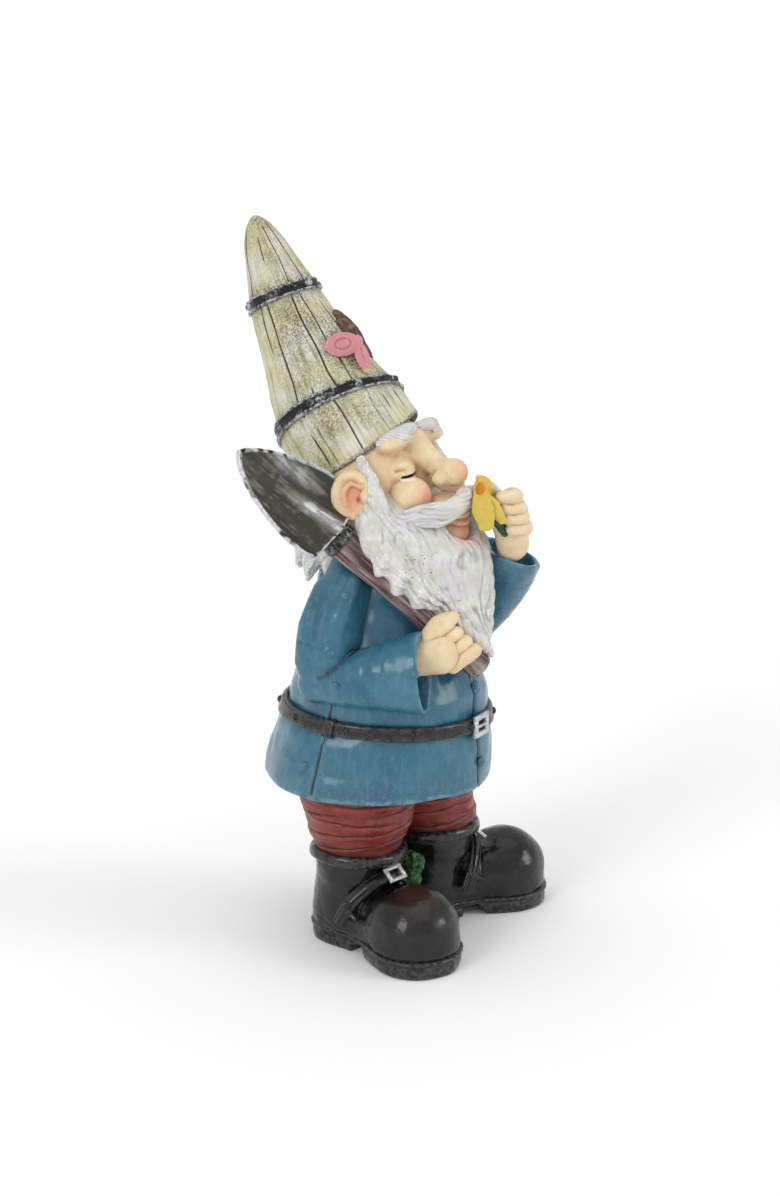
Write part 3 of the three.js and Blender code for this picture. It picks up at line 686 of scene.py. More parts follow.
def hat_grooves(angle, along):
    """Gaps between the staves, in three tiers that the bands part."""
    random = np.random.default_rng(7)
    depth = np.zeros_like(angle)
    tiers = [(-0.03, LOWER_BAND, 1.0, 22), (LOWER_BAND, UPPER_BAND, 0.9, 19),
             (UPPER_BAND, 0.97, 0.7, 11)]
    for low, high, strong, count in tiers:
        inside = (along >= low) & (along < high)
        for i in range(count):
            line = (i + random.uniform(-0.32, 0.32)) / count * 2 * np.pi
            drift = random.uniform(-0.12, 0.12)
            spare = 0.3 * (high - low)
            start, end = sorted(random.uniform(low - spare, high + spare, 2))
            if end - start < spare:
                start, end = low - 0.1, high - random.uniform(0, 0.2) * (high - low)
            wander = 0.012 * np.sin(along * 30 + i * 2.3)
            across = turned_angle(angle - line - drift * (along - low) - wander) * hat_radius(along)
            ends = np.clip((along - start) / 0.03, 0, 1) * np.clip((end - along) / 0.03, 0, 1)
            cut = groove(across, random.uniform(0.35, 0.65), random.uniform(0.4, 1.3) * strong)
            depth = np.where(inside, np.minimum(depth, cut * ends), depth)
    return depth


def make_hat():
    tip = 1 - 0.07 * np.cos(np.linspace(0, np.pi / 2, 18))
    levels = np.concatenate([np.linspace(0, 0.93, 200), tip[1:]])
    around, along = np.meshgrid(turns(HAT_AROUND), levels)
    grain = noise(sheet(around * 45, along * HAT_LENGTH), (1.6, 16, 1), 3)
    facet = noise(sheet(around * FACETS / 6.28, along * 2.5), 1.0, 5)
    gaps = hat_grooves(around, along)
    out = gaps + 0.22 * grain + 0.35 * facet + 0.4 * noise(hat_skin(around, along), 11, 9)
    rows = list(hat_skin(around, along, out * np.clip((1 - along) / 0.05, 0.1, 1)))
    edge = [hat_skin(around[0], np.full(HAT_AROUND, at), depth) for at, depth in RIM_EDGE]
    edge[2] -= (rows[3] - rows[0]) * 0.35
    droop = DROOP * np.maximum(np.cos(around[0] - DROOP_AT), 0)[:, None] * -unit(HAT_UP)
    starts = [at for at, _ in RIM_EDGE] + list(levels)
    shape = loft([row + droop * max(1 - at / 0.14, 0) for row, at in zip(edge + rows, starts)])

    near = for_loft(along, 3, ends=(0, 1))
    turn = np.concatenate([np.tile(around[0], 3), for_loft(around)])
    # Painted shade under the hat: the rim's underside and its lowest mm are darkened through the smudge and
    # crack marks.
    rim_shade = np.clip(1 - near / 0.012, 0, 1)
    soot_and_rim_shade = np.max([np.exp(-np.abs(near - UPPER_BAND) / 0.05),
                   np.exp(-np.abs(near - lower_band_level(turn)) / 0.045),
                   1.3 * closeness(shape.points, (-6, 32, 396), (17, 17, 26)),
                   0.25 + 0.5 * noise(shape.points, 20, 12), rim_shade], 0)
    # Stave gaps, plus painted shade along the rim.
    cracks_and_rim_shade = np.maximum(for_loft(-gaps, 3, 1.0, (1, 0)), 0.6 * rim_shade)
    piece("stave_hat", shape, stave_paint(), ["hat"],
          {"soot_and_rim_shade": np.clip(soot_and_rim_shade, 0, 1), "crack": cracks_and_rim_shade, "grain": for_loft(grain, 3)}, 8)


def hat_band(name, level, wide, rivets, material):
    section = [(-1, -1.0), (-1.02, 1.2), (-0.92, 2.4), (-0.7, 2.5), (-0.5, 1.9), (0, 1.8), (0.5, 1.9),
               (0.7, 2.5), (0.92, 2.4), (1.02, 1.2), (1, -1.0)]
    shapes = [wrapped(hat_skin, level, section, wide / 2 / HAT_LENGTH, 300,
                      lambda place: noise(place, 5, 21) * 0.45 + noise(place, 2, 22) * 0.15)]
    for i in range(rivets):
        turn = (i + 0.4) / rivets * 2 * np.pi
        shapes.append(stud(hat_skin, turn, level(turn), 1.7, 2.7, 2.7))
    piece(name, merged(shapes), material, [name], passes=4)


def make_knot():
    clay = Clay((-14, 6, 370), (26, 66, 430), 0.6)
    clay.ball((8.5, 36, 401), (11, 6.5, 24), turn=(-38, 0, 0))
    ridged = clay.shape().roughened((0.8, (2.2, 5, 7), 31), (0.25, 1.4, 32))
    piece("bark_knot", ridged, bark_paint(), ["hat_knot"], passes=6)


def make_bow():
    """One flat oval loop with a raised edge and ring, a knot and one tail."""
    clay = Clay((-32, 2, 375), (16, 54, 415), 0.45)
    end, knot, tail = np.array((-20, 36.5, 399.5)), np.array((-2.5, 23.5, 403)), np.array((-9, 12, 386))
    along = unit(knot - end)
    up = np.array((0, 0.42, 0.9))
    away = unit(np.cross(along, up))
    long, high = 11, 7.2                    # half the loop's length and height
    middle = (end + knot) / 2 + away * 0.5
    oval = np.linspace(-0.97, 0.9, 9)
    clay.tube([middle + along * long * t + away * 1.5 * (1 - t * t) for t in oval],
              [(high * math.sqrt(1 - t * t) + 0.4, 2.4) for t in oval], up, 0.5, parts=1)
    for size, depth in ((0.97, 1.0), (0.5, 0.9)):
        ring = [middle + along * long * size * math.cos(a) + away * (5.75 - 4.3 * size)
                + np.cross(away, along) * high * size * math.sin(a) for a in np.linspace(0, 2 * np.pi, 14)]
        clay.tube(ring, [depth] * 14, blend=0.5, remove=size < 0.9, parts=1)
    clay.ball(knot, (3.6, 3.4, 4.4), 1)
    down = unit(tail - knot) * 21
    clay.tube([knot + down * t + away * (1 - t) for t in np.linspace(0.05, 1, 7)],
              [(wide, 2.2) for wide in (2.6, 3.6, 4.4, 4.8, 4.6, 3.8, 2.2)],
              np.cross(unit(down), away), 0.8, parts=1)
    clay.carve([knot + down * t + away * 2.6 for t in (0.25, 0.55, 0.85)], [0.4, 0.7, 0.5], blend=0.5)
    shape = clay.shape().roughened((0.2, 3, 33))
    tip = np.clip((388 - shape.points[:, 2]) / 2, 0, 1)
    piece("hat_ribbon", shape, bow_paint(), ["hat_bow"], {"tip": tip}, 6)


# ------------------------------------------------------------------ head
EYES = [[(side * 25, -26.5, 323.2), (side * 20, -29.5, 323.8), (side * 13.5, -31.5, 325.6)]
        for side in (-1, 1)]
GAZE = [unit((side * 0.5, -0.82, 0.22)) for side in (-1, 1)]   # outwards at each eye


def near_line(points, line, away, reach):
    """1 on a line drawn on a surface that faces away, falling to 0 past reach in mm."""
    gaps = []
    for place in curve(line, np.linspace(0, 1, 24)):
        gap = points - place
        above = gap @ away
        beside = np.linalg.norm(gap - above[:, None] * away, axis=1)
        gaps.append(beside + np.maximum(np.abs(above) - 7, 0))
    return np.clip(1.6 - np.min(gaps, 0) / reach, 0, 1)


def make_head():
    clay = Clay((-52, -66, 264), (52, 62, 368), 0.75)
    clay.ball((0, 14, 313), (44.5, 43.5, 46))
    clay.tube([(0, -17, 344), (0, -27, 334), (0, -40, 326)], [(10, 8), (9, 8), (8, 7)], blend=5)
    clay.ball((0, -42, 300), (17, 15, 11), 6)
    for side in (-1, 1):
        clay.ball((side * 20, -16, 345), (13, 9, 6), 6, turn=(0, side * 12, 0))
        clay.ball((side * 16, -34, 326), (9, 6, 8), 8, True)
        clay.ball((side * 18, -21, 325), (9, 8.5, 8.5), 3)
        clay.ball((side * 20, -29.5, 311), (13, 13, 12), 2.5)
        clay.carve(EYES[side > 0], [(4, 0.5), (5, 0.9), (4, 0.6)], GAZE[side > 0], 0.5)
        clay.carve([(side * 26, -22, 327), (side * 19, -30, 329), (side * 11, -31, 330)],
                  [0.8, 1.2, 0.8], blend=3)
    clay.ball((0, -48.5, 325), (9.5, 9.5, 9.2), 2.5)
    for side in (-1, 1):
        clay.ball((side * 7.5, -43.5, 321.5), (4.8, 5.5, 4.8), 2)
        clay.ball((side * 4, -51, 316.2), (2, 2.4, 1.6), 1, True)
    clay.ball((0, -49, 286), (12, 9, 8), 2)
    clay.ball((0, -54, 298.5), (9, 5, 2.8), 2)
    clay.ball((0, -54.5, 293.8), (7, 5, 2.8), 1)
    clay.carve([(-7, -55, 296.4), (0, -60, 296), (7, -55, 296.4)], [0.5, 0.8, 0.5], blend=0.6)
    clay.plane(np.array(HAT_RIM) + unit(HAT_UP) * 2.5, HAT_UP)
    shape = clay.shape().roughened((0.22, 8, 41), (0.06, 2, 42))
    points = shape.points
    spots = [(1.0, (-20, -42, 313), (8, 8, 6)), (1.0, (20, -42, 313), (8, 8, 6)),      # cheeks
             (0.75, (0, -56, 328), (7, 7, 7)),                                          # nose
             (1.25, (0, -58, 294.5), (8, 5, 3.6)), (0.8, (-2, -58, 287), (9, 7, 5)),    # lips, chin
             (0.35, (-37, -14, 318), (12, 9, 12)), (0.35, (37, -14, 318), (12, 9, 12))]
    blush = sum(strength * closeness(points, place, reach) for strength, place, reach in spots)
    ink_and_shade = np.max([near_line(points, line, away, 0.75) for line, away in zip(EYES, GAZE)], 0)
    below = [np.array(line[:2]) + (0, 0, -1.6) for line in EYES]
    white = 0.9 * np.max([near_line(points, line, away, 0.9) for line, away in zip(below, GAZE)], 0)
    piece("gnome_head", shape, skin_paint(), ["head", "nose"],
          {"blush": blush, "ink_and_shade": ink_and_shade, "white": white})


def make_ear(side, name, skin):
    """A big round ear with a rolled rim and a hollow, side -1 on the gnome's right."""
    clay = Clay((-12, -20, -22), (12, 20, 22), 0.55)
    clay.ball((0, 0, 0), (5.5, 13, 16.5))
    clay.ball((5, -1.5, 1), (4, 8.5, 11.5), 2, True)
    rim = [(2.6 - 0.5 * math.cos(a), 10.2 * math.sin(a), 13.2 * math.cos(a))
           for a in np.linspace(-0.7, 3.3, 9)]
    clay.tube(rim, [1.6, 2.2, 2.4, 2.6, 2.6, 2.4, 2.2, 2.4, 2.6], blend=1.5, parts=2)
    clay.tube([(2, -6, 6), (2.2, 0, 8), (2, 4.6, 2), (2, 3, -5)], [1.2, 1.5, 1.7, 1.2], blend=1.6)
    clay.ball((3, -9, 0), (2.6, 3.2, 4.4), 1.5)
    clay.ball((3.4, -4.5, -2), (2.4, 2.4, 3), 1.2, True)
    shape = clay.shape().roughened((0.1, 3, 43))
    blush = closeness(shape.points, (4, -1, 0), (9, 7, 10)) * 1.1
    # A near-black spot in the ear's deepest hollow: painted shade.
    ink_and_shade = closeness(shape.points, (1.6, -4.6, -2.4), (1.6, 1.2, 1.8)) * 0.8
    if side < 0:
        shape.turn_over()
    shape.points = shape.points * (side, 1, 1) @ rotation(z=side * -24).T + (side * 48, -3, 313)
    piece(f"{name}_ear", shape, skin, [f"ear_{name}"], {"blush": blush, "ink_and_shade": ink_and_shade})


def strands(points, phase, depth, seed, sharp=0.55):
    """Hair carved in locks along lines of equal phase, one lock per whole number."""
    wave = phase + 0.8 * noise(points, (11, 11, 17), seed) + 0.3 * noise(points, (4, 4, 8), seed + 1)
    valley = 1 - np.abs(np.sin(np.pi * wave)) ** sharp
    fading = 0.55 + 0.75 * noise(points, (8, 8, 13), seed + 2)
    return -depth * valley * np.clip(fading, 0.05, 1.2)


def hair_piece(name, shape, phases, node, passes=8, **marks):
    """Carves (phase, depth, seed) rounds of locks into hair and paints it."""
    hair = bpy.data.materials.get("hair_paint") or hair_paint()
    depth = np.zeros(len(shape.points))
    for phase, deep, seed in phases:
        cut = strands(shape.points, phase, deep, seed)
        depth -= cut
        shape.pushed(cut)
    piece(name, shape, hair, [node], {"strand": depth / depth.max(), **marks}, passes)


def lock_phases(points, x, y, rounds):
    """Wavy upright locks: rounds are (locks per radian around x and y, depth, seed)."""
    turn = np.arctan2(x, y)
    bend = 0.4 * np.sin(points[:, 2] / 9 + 3 * turn)
    return [(turn * locks + bend * min(i + 1, 2), depth, seed)
            for i, (locks, depth, seed) in enumerate(rounds)]


def make_brows_and_moustache():
    for side, name in ((-1, "right"), (1, "left")):
        clay = Clay((-42, -38, 330), (42, 8, 364), 0.45)
        clay.tube([(side * 32, -13, 344.5), (side * 24, -18, 349), (side * 14, -22, 351.5),
                   (side * 4, -20, 351.5)], [(2.2, 2.2), (4, 3.8), (4.6, 4.4), (3.6, 3.4)], (0, 0, 1), 1.5)
        clay.tube([(side * 29, -17, 344), (side * 21, -23, 347.5), (side * 13, -26, 347)],
                  [1.4, 2.4, 1.0], blend=1.5)
        shape = clay.shape()
        line = shape.points[:, 2] - 0.4 * np.abs(shape.points[:, 0])
        phases = [(line / 2.4, 0.8, 50), (line / 1.1, 0.3, 51)]
        hair_piece(f"brow_{name}", shape, phases, f"eyebrow_{name}", 6)

    clay = Clay((-44, -74, 284), (44, -14, 324), 0.5)
    for side in (-1, 1):
        clay.tube([(side * 1.5, -57.5, 312.5), (side * 8, -60.5, 309), (side * 17, -56, 304.5),
                   (side * 27, -44, 300.5), (side * 36, -31, 300)],
                  [(4.5, 5), (7, 6), (6.4, 5.5), (4.8, 4.5), (2.4, 2.2)], (0, 0, 1), 1.5)
        clay.tube([(side * 2, -61, 315), (side * 8, -63.5, 313.5), (side * 14, -61, 311)],
                  [3.2, 3.8, 1.8], blend=1.2)
        clay.tube([(side * 20, -53, 308), (side * 28, -45, 307), (side * 34, -35, 304)],
                  [2.2, 2.6, 1.5], blend=1)
        clay.tube([(side * 14, -61, 302), (side * 24, -52, 296), (side * 32, -42, 296)],
                  [2.0, 2.6, 1.2], blend=1)
    shape = clay.shape()
    line = shape.points[:, 2] + 0.25 * np.abs(shape.points[:, 0]) - 0.06 * shape.points[:, 1]
    hair_piece("gnome_moustache", shape, [(line / 3.0, 1.0, 53), (line / 1.3, 0.35, 55)], "moustache")


def make_beard():
    clay = Clay((-62, -98, 196), (62, 26, 346), 0.75)
    clay.tube([(0, -2, 306), (0, -22, 290), (0, -41, 268), (0, -55, 242), (0, -65, 220), (0, -70, 203)],
              [(46, 18), (47, 24), (41, 27), (30, 19), (17, 10), (5, 4)], blend=2)
    for side in (-1, 1):
        clay.tube([(side * 40, -5, 335), (side * 41, -12, 322), (side * 42, -17, 308), (side * 41, -20, 290)],
                  [(4, 3), (6.5, 4), (9, 6), (10, 9)], (0, 1, 0), 4)
        clay.tube([(side * 43, -14, 296), (side * 46, -26, 280), (side * 42, -40, 264),
                   (side * 31, -52, 250)],
                  [(9, 9), (9.5, 9), (9.5, 9), (9, 9)], blend=5)
        for end in ((51, -17, 279), (53, -28, 268), (49, -38, 257), (41, -48, 248)):
            end = np.array(end, float) * (side, 1, 1)
            clay.tube([end + (-side * 5, 4, 16), end + (side * 0.5, -1.5, 9), end],
                      [(8, 7), (7.5, 6), (5, 4)], (side * 0.6, -0.7, 0), 4)
    clay.ball((0, -55, 292), (14, 14, 10), 2, True)
    for level, low in ((-66, 226), (-71, 214)):
        clay.tube([(-12, level + 6, low + 16), (-6, level - 4, low + 4), (4, level - 5, low - 6)],
                  [5, 5.5, 2.5], blend=2)
    shape = clay.shape()
    points = shape.points
    middle = np.interp(points[:, 2], np.linspace(204, 306, 6), (-70, -62, -52, -38, -20, -2))
    phases = lock_phases(points, points[:, 0], -(points[:, 1] - middle - 14),
                         [(3.4, 1.9, 56), (8, 0.9, 60), (19, 0.5, 62)])
    blush = 0.9 * closeness(points, (-2, -62, 283), (10, 12, 4))
    holes = closeness(points, (-40, -45, 266), (13, 22, 17)) + closeness(points, (-24, -62, 242), (8, 9, 13))
    hair_piece("gnome_beard", shape, phases, "beard", 12, blush=blush, holes=holes)


def make_back_hair():
    clay = Clay((-60, -14, 246), (60, 84, 346), 0.9)
    clay.tube([(0, 24, 340), (0, 28, 310), (0, 30, 284), (0, 32, 268)],
              [(41.5, 32), (45, 35), (42, 31), (34, 24)], blend=2)
    for i in range(9):
        angle = math.radians(-18 + i * 27)
        x, y = math.cos(angle), math.sin(angle)
        drop = 4 * math.sin(i * 2.4)
        clay.tube([(x * 35, 28 + y * 22, 284), (x * 40, 30 + y * 27, 268 + drop),
                   (x * 42, 32 + y * 31, 255 + drop)], [(11, 8), (8, 6), (2, 2)], (-y, x, 0), 2)
    clay.plane(np.array(HAT_RIM) + unit(HAT_UP) * 0.5, HAT_UP)
    clay.plane((0, 6, 330), (0, -1, 0.45))
    shape = clay.shape()
    phases = lock_phases(shape.points, shape.points[:, 0], shape.points[:, 1] - 26,
                         [(4.2, 2.0, 64), (9, 0.8, 68), (19, 0.3, 69)])
    hair_piece("back_hair", shape, phases, "hair_back", 12)


# ------------------------------------------------------------------ coat and belt
COAT_TABLE = np.array([
    (116, 79, 77, 8), (136, 75, 75, 6), (158, 68, 70, 4), (178, 64, 65, 1), (203, 57, 57, 3),
    (230, 50, 47, 5), (252, 43, 41, 8), (266, 30, 31, 10), (272, 18, 18, 10)], float)
HEM, COAT_TOP = 116.0, 272.0
COAT_RADIUS = 70.0                       # a middling one, for distances around the coat
# each seam's angle, and how it leans in radians per mm of height: front, right, left, back
SEAMS = [(math.radians(-88), 0.0008), (math.radians(179.5), 0.0), (math.radians(-0.5), 0.0),
         (math.radians(92), 0.0)]


def coat_skin(angle, height, out=0.0):
    """A point on the coat: angle 0 is its left, -90 degrees its front."""
    wide, deep, middle = (np.interp(height, COAT_TABLE[:, 0], COAT_TABLE[:, k]) for k in (1, 2, 3))
    return np.stack([np.cos(angle) * (wide + out), np.sin(angle) * (deep + out) + middle,
                     height + 0 * angle], -1)


def belt_height(angle):
    return 160.5 + 3.5 * np.cos(angle - math.radians(165))


def past_seam(angle, height, seam, lean):
    """How far around the coat a point lies past a seam, in mm."""
    return turned_angle(angle - seam - lean * (height - 150)) * COAT_RADIUS


def coat_detail(angle, height):
    """Seams, soft folds and the pinch under the belt, in mm outwards."""
    place = np.stack([np.cos(angle) * COAT_RADIUS, np.sin(angle) * COAT_RADIUS, height], -1)
    out = (1.6 * noise(place, (20, 20, 55), 71) + 0.5 * noise(place, 9, 72)
           + 0.5 * noise(place, (60, 60, 9), 73))
    below = np.clip((belt_height(angle) - height) / 40, 0, 1)
    out = out + below * 1.3 * np.sin(angle * 7 + 1.2 * np.sin(angle * 3)) * np.clip(below * 2, 0, 1)
    out = out + groove(height - belt_height(angle), 7, 1.6)
    above_seam = np.clip((height - HEM - 1) / 3, 0, 1)
    for seam, lean in SEAMS:
        across = past_seam(angle, height, seam, lean)
        out = out + groove(across, 0.75, 1.5) * above_seam
        out = out + 0.5 * np.clip(across / 3, 0, 1) * np.clip(1 - (across - 3) / 20, 0, 1)
    return out


def make_coat():
    angle = turns(560)
    heights = np.concatenate([np.linspace(HEM + 2.5, 246, 150), np.linspace(248, COAT_TOP, 12)])
    around, height = np.meshgrid(angle, heights)
    rows = list(coat_skin(around, height, coat_detail(around, height)))
    hem = coat_detail(angle, np.full_like(angle, HEM + 2.5))
    wave = 1.2 * np.sin(angle * 5 + 0.6)
    lip = [coat_skin(angle, np.full_like(angle, HEM + lift), hem + out)
           for lift, out in ((14, -7.5), (3, -5.5), (0.4, -4.2), (0.0, -2.5), (0.5, -0.8), (1.4, -0.1))]
    for row in lip[1:] + rows[:6]:
        row[:, 2] += wave * 0.5
    shape = loft([coat_skin(angle, np.full_like(angle, HEM + 14), -30)] + lip + rows)
    points = shape.points
    gap = np.min([np.abs(past_seam(around, height, *seam)) for seam in SEAMS], 0)
    seam = for_loft(np.clip(1.3 - gap / 0.8, 0, 1) * (height > HEM + 4), 1 + len(lip))
    wear_and_highlight = np.clip((150 - points[:, 2]) / 30, 0, 1) * 0.8
    # A grey patch on the right shoulder's top: a painted highlight.
    wear_and_highlight = np.maximum(wear_and_highlight, 0.9 * closeness(points, (-56, 0, 255), (14, 18, 12)))
    wear_and_highlight = np.maximum(wear_and_highlight, 0.7 * np.clip(noise(points, 34, 75) - 0.2, 0, 1))
    piece("coat_body", shape, coat_paint(), ["coat"], {"wear_and_highlight": wear_and_highlight, "seam": seam}, 14)


def make_belt(leather, silver):
    half = 4.6
    section = [(-1, -1), (-1.0, 1.8), (-0.88, 2.9), (-0.6, 3.1), (0, 3.0), (0.6, 3.1), (0.88, 2.9),
               (1.0, 1.8), (1, -1)]
    shapes = [wrapped(coat_skin, belt_height, section, half, 420, lambda place: 0.35 * noise(place, 9, 81))]
    for i in range(10):
        turn = math.radians(-59.5 + i * 36)
        shapes.append(stud(coat_skin, turn, belt_height(turn), 2.8, 2.6, 2.0, 0.7))
    turn = math.radians(182)
    steps = np.linspace(-0.05, 0.05, 9)
    keeper = [coat_skin(turn + steps, belt_height(turn) + place * (half + 1), out)
              for place, out in ((-1, 0.5), (-1, 3.8), (-0.8, 4.4), (0.8, 4.4), (1, 3.8), (1, 0.5))]
    shapes.append(loft(np.array(keeper).transpose(1, 0, 2)[::-1]))
    piece("coat_belt", merged(shapes), leather, ["belt"], passes=5)
    piece("coat_belt_buckle", belt_buckle(17, 15, 2.6, -88), silver, ["belt_buckle"],
          passes=4)


def bar(start, end, wide, thick, up):
    """A flat bar with soft edges between two places."""
    start, end = np.array(start, float), np.array(end, float)
    ahead, length = unit(end - start), np.linalg.norm(end - start)
    angle, square = turns(16), 0.45         # a lower power of the sine makes sharper corners
    x = np.sign(np.cos(angle)) * np.abs(np.cos(angle)) ** square * wide / 2
    y = np.sign(np.sin(angle)) * np.abs(np.sin(angle)) ** square * thick / 2
    section = x[:, None] * np.cross(up, ahead) + y[:, None] * np.array(up, float)
    ends = [(0.0, 0.86), (0.3, 1.0), (length - 0.3, 1.0), (length, 0.86)]
    return loft([start + ahead * at + section * size for at, size in ends])


def buckle_frame(wide, high, thick, prong=True):
    """A square frame with a tongue in the XZ plane, facing -Y."""
    up = (0, -1, 0)
    edge = min(wide, high) * 0.24
    x, z = wide / 2 - edge / 2, high / 2 - edge / 2
    shapes = [bar((-x - edge / 2, 0, sign * z), (x + edge / 2, 0, sign * z), edge, thick, up)
              for sign in (-1, 1)]
    shapes += [bar((sign * x, 0, -z), (sign * x, 0, z), edge, thick, up) for sign in (-1, 1)]
    if prong:
        shapes.append(bar((x, -thick * 0.25, 0), (-x, -thick * 0.25, 0), edge * 0.4, thick * 0.8, up))
    return merged(shapes)


def belt_buckle(wide, high, thick, degrees):
    turn = math.radians(degrees)
    shape = buckle_frame(wide, high, thick)
    shape.points = shape.points @ rotation(z=degrees + 90).T + coat_skin(turn, belt_height(turn), 4.2)
    return shape


# ------------------------------------------------------------------ arms
SLEEVE_BUTTONS = {"right": [(-72, -14, 259), (-80, -8, 216), (-80, -10, 196), (-66, -66, 210)],
                  "left": [(72, -14, 259), (80, -24, 216)]}


def sleeve_button(shape, place):
    """A little button where the sleeve comes closest to a place."""
    nearest = np.argmin(np.linalg.norm(shape.points - place, axis=1))
    return dome(shape.points[nearest], shape.normals()[nearest], 2.7, 1.8, 0.8)


def make_sleeves(coat):
    clay = Clay((-90, -86, 158), (-14, 40, 290), 0.8)
    clay.tube([(-34, 4, 260), (-50, 5, 238), (-59, 7, 212), (-62, 14, 190)],
              [(16, 18), (18, 18), (19, 17), (13, 13)], (0, 1, 0), 3)
    clay.tube([(-54, -8, 258), (-66, -6, 238), (-72, -1, 212)], [3, 6, 4], blend=11)
    clay.tube([(-56, 16, 250), (-67, 18, 230), (-70, 20, 206)], [3, 5, 3], blend=11)
    clay.carve([(-56, -16, 268), (-66, -4, 262), (-64, 14, 262)], [0.4, 1.1, 0.5], blend=2.5)
    clay.carve([(-76, -10, 224), (-79, 6, 219), (-74, 22, 220)], [0.5, 1.2, 0.6], blend=3)
    clay.ball((-62, 14, 190), (11, 13, 12), 2)
    clay.tube([(-62, 14, 190), (-61, -8, 194), (-54, -32, 200), (-46, -55, 204)],
              [(11, 12), (15, 17), (18, 22), (20, 27)], blend=1.2)
    clay.carve([(-80, 12, 206), (-80, -6, 211), (-74, -26, 219), (-60, -44, 226)],
              [0.8, 1.6, 1.2, 0.6], blend=1.5)
    clay.carve([(-74, 4, 184), (-76, -14, 184), (-72, -34, 185), (-67, -50, 184)],
              [0.5, 1.2, 1.2, 0.4], blend=2.5)
    clay.carve([(-53, -40, 201), (-42, -70, 205)], [(13.5, 18), (18, 25)], blend=1)
    clay.plane((-46, -57, 204), (0.34, -0.93, 0.1), 1.2)
    right = clay.shape()

    clay = Clay((12, -96, 186), (88, 32, 296), 0.8)
    clay.tube([(34, 4, 260), (50, -2, 240), (58, -14, 222), (58, -29, 208)],
              [(16, 18), (19, 20), (19, 20), (14, 15)], (0, 1, 0), 3)
    clay.ball((58, -29, 208), (13, 14, 12), 2)
    clay.tube([(58, -29, 208), (58, -43, 226), (53, -56, 246), (48, -65, 265)],
              [(13, 14), (15, 16), (18.5, 18), (22, 20)], blend=2)
    clay.carve([(49, -62, 262), (46, -68, 275)], [(18.5, 16.5), (21, 19)], blend=1)
    clay.plane((48, -64, 266), (0.2, -0.4, 0.89), 1.2)
    left = clay.shape()
    for shape, name, seed in ((right, "right", 91), (left, "left", 95)):
        shape.roughened((0.5, (12, 12, 26), seed), (0.15, 4, seed + 1))
        wear_and_highlight = 0.6 * np.clip(noise(shape.points, 22, seed + 2) + 0.1, 0, 1)
        # A grey patch on the right shoulder's top: a painted highlight.
        wear_and_highlight = np.maximum(wear_and_highlight, closeness(shape.points, (-60, -4, 258), (10, 14, 9)))
        studs = [sleeve_button(shape, place) for place in SLEEVE_BUTTONS[name]]
        wear_and_highlight = np.concatenate([wear_and_highlight, np.zeros(sum(len(stud.points) for stud in studs))])
        piece(f"coat_sleeve_{name}", merged([shape] + studs), coat, [f"sleeve_{name}"],
              {"wear_and_highlight": wear_and_highlight}, 14)


def hand(clay, wrist, palm, knuckles, curl, thumb, side):
    """A fist: fingers start along the line of knuckles and each take the steps of curl."""
    wrist, palm, knuckles = (np.array(place, float) for place in (wrist, palm, knuckles))
    clay.tube([wrist, palm], [(12, 10), (13, 11)], side, 1)
    clay.ball(palm, 12.5, 3)
    for i in range(4):
        start = palm + knuckles * ((i - 1.5) / 3)
        clay.tube([start] + [start + step for step in np.array(curl, float)], [5.0, 5.3, 5.1, 4.5], side, 0.5)
    clay.tube(thumb, [6, 5.4, 4.6], side, 1.2)
    return clay.shape()


def make_hands(skin):
    right = hand(Clay((-64, -92, 190), (-2, -38, 250), 0.6), (-45, -50, 213), (-36, -62, 216),
                 (10, -14, -17), [(3, -5, 5), (10, -9, 9), (17, -5, 7)],
                 [(-40, -55, 224), (-35, -60, 235), (-27, -66, 238)], (0.41, -0.61, -0.68))
    left = hand(Clay((4, -98, 262), (58, -48, 326), 0.6), (40, -70, 272), (27, -74, 296),
                (-6, 4, 21), [(0, -6, 3), (-8, -13, 4), (-14, -7, 4)],
                [(30, -66, 302), (22, -63, 311), (16, -66, 314)], (1, 0, 0))
    for shape, name in ((right, "right"), (left, "left")):
        shape.pushed(0.2 * noise(shape.points, 5, 101) - 0.1)
        piece(f"gnome_hand_{name}", shape, skin, [f"hand_{name}"])


# ------------------------------------------------------------------ shovel
SOCKET, HANDLE_END = np.array((-55, -3, 282.0)), np.array((-6, -75, 201.0))
BLADE_AXIS = unit((-0.41, 0.63, 0.66))
ASIDE = np.array((0.64, 0.03, 0.7))
BLADE_ACROSS = unit(ASIDE - BLADE_AXIS * (ASIDE @ BLADE_AXIS))
BLADE_FACE = np.cross(BLADE_ACROSS, BLADE_AXIS)
BLADE_TIP, BLADE_MIDDLE, BLADE_TAIL = 90.0, 32.0, 22.0    # along from the socket; the tail reaches back
BLADE_HALF = 27.0                        # half its width


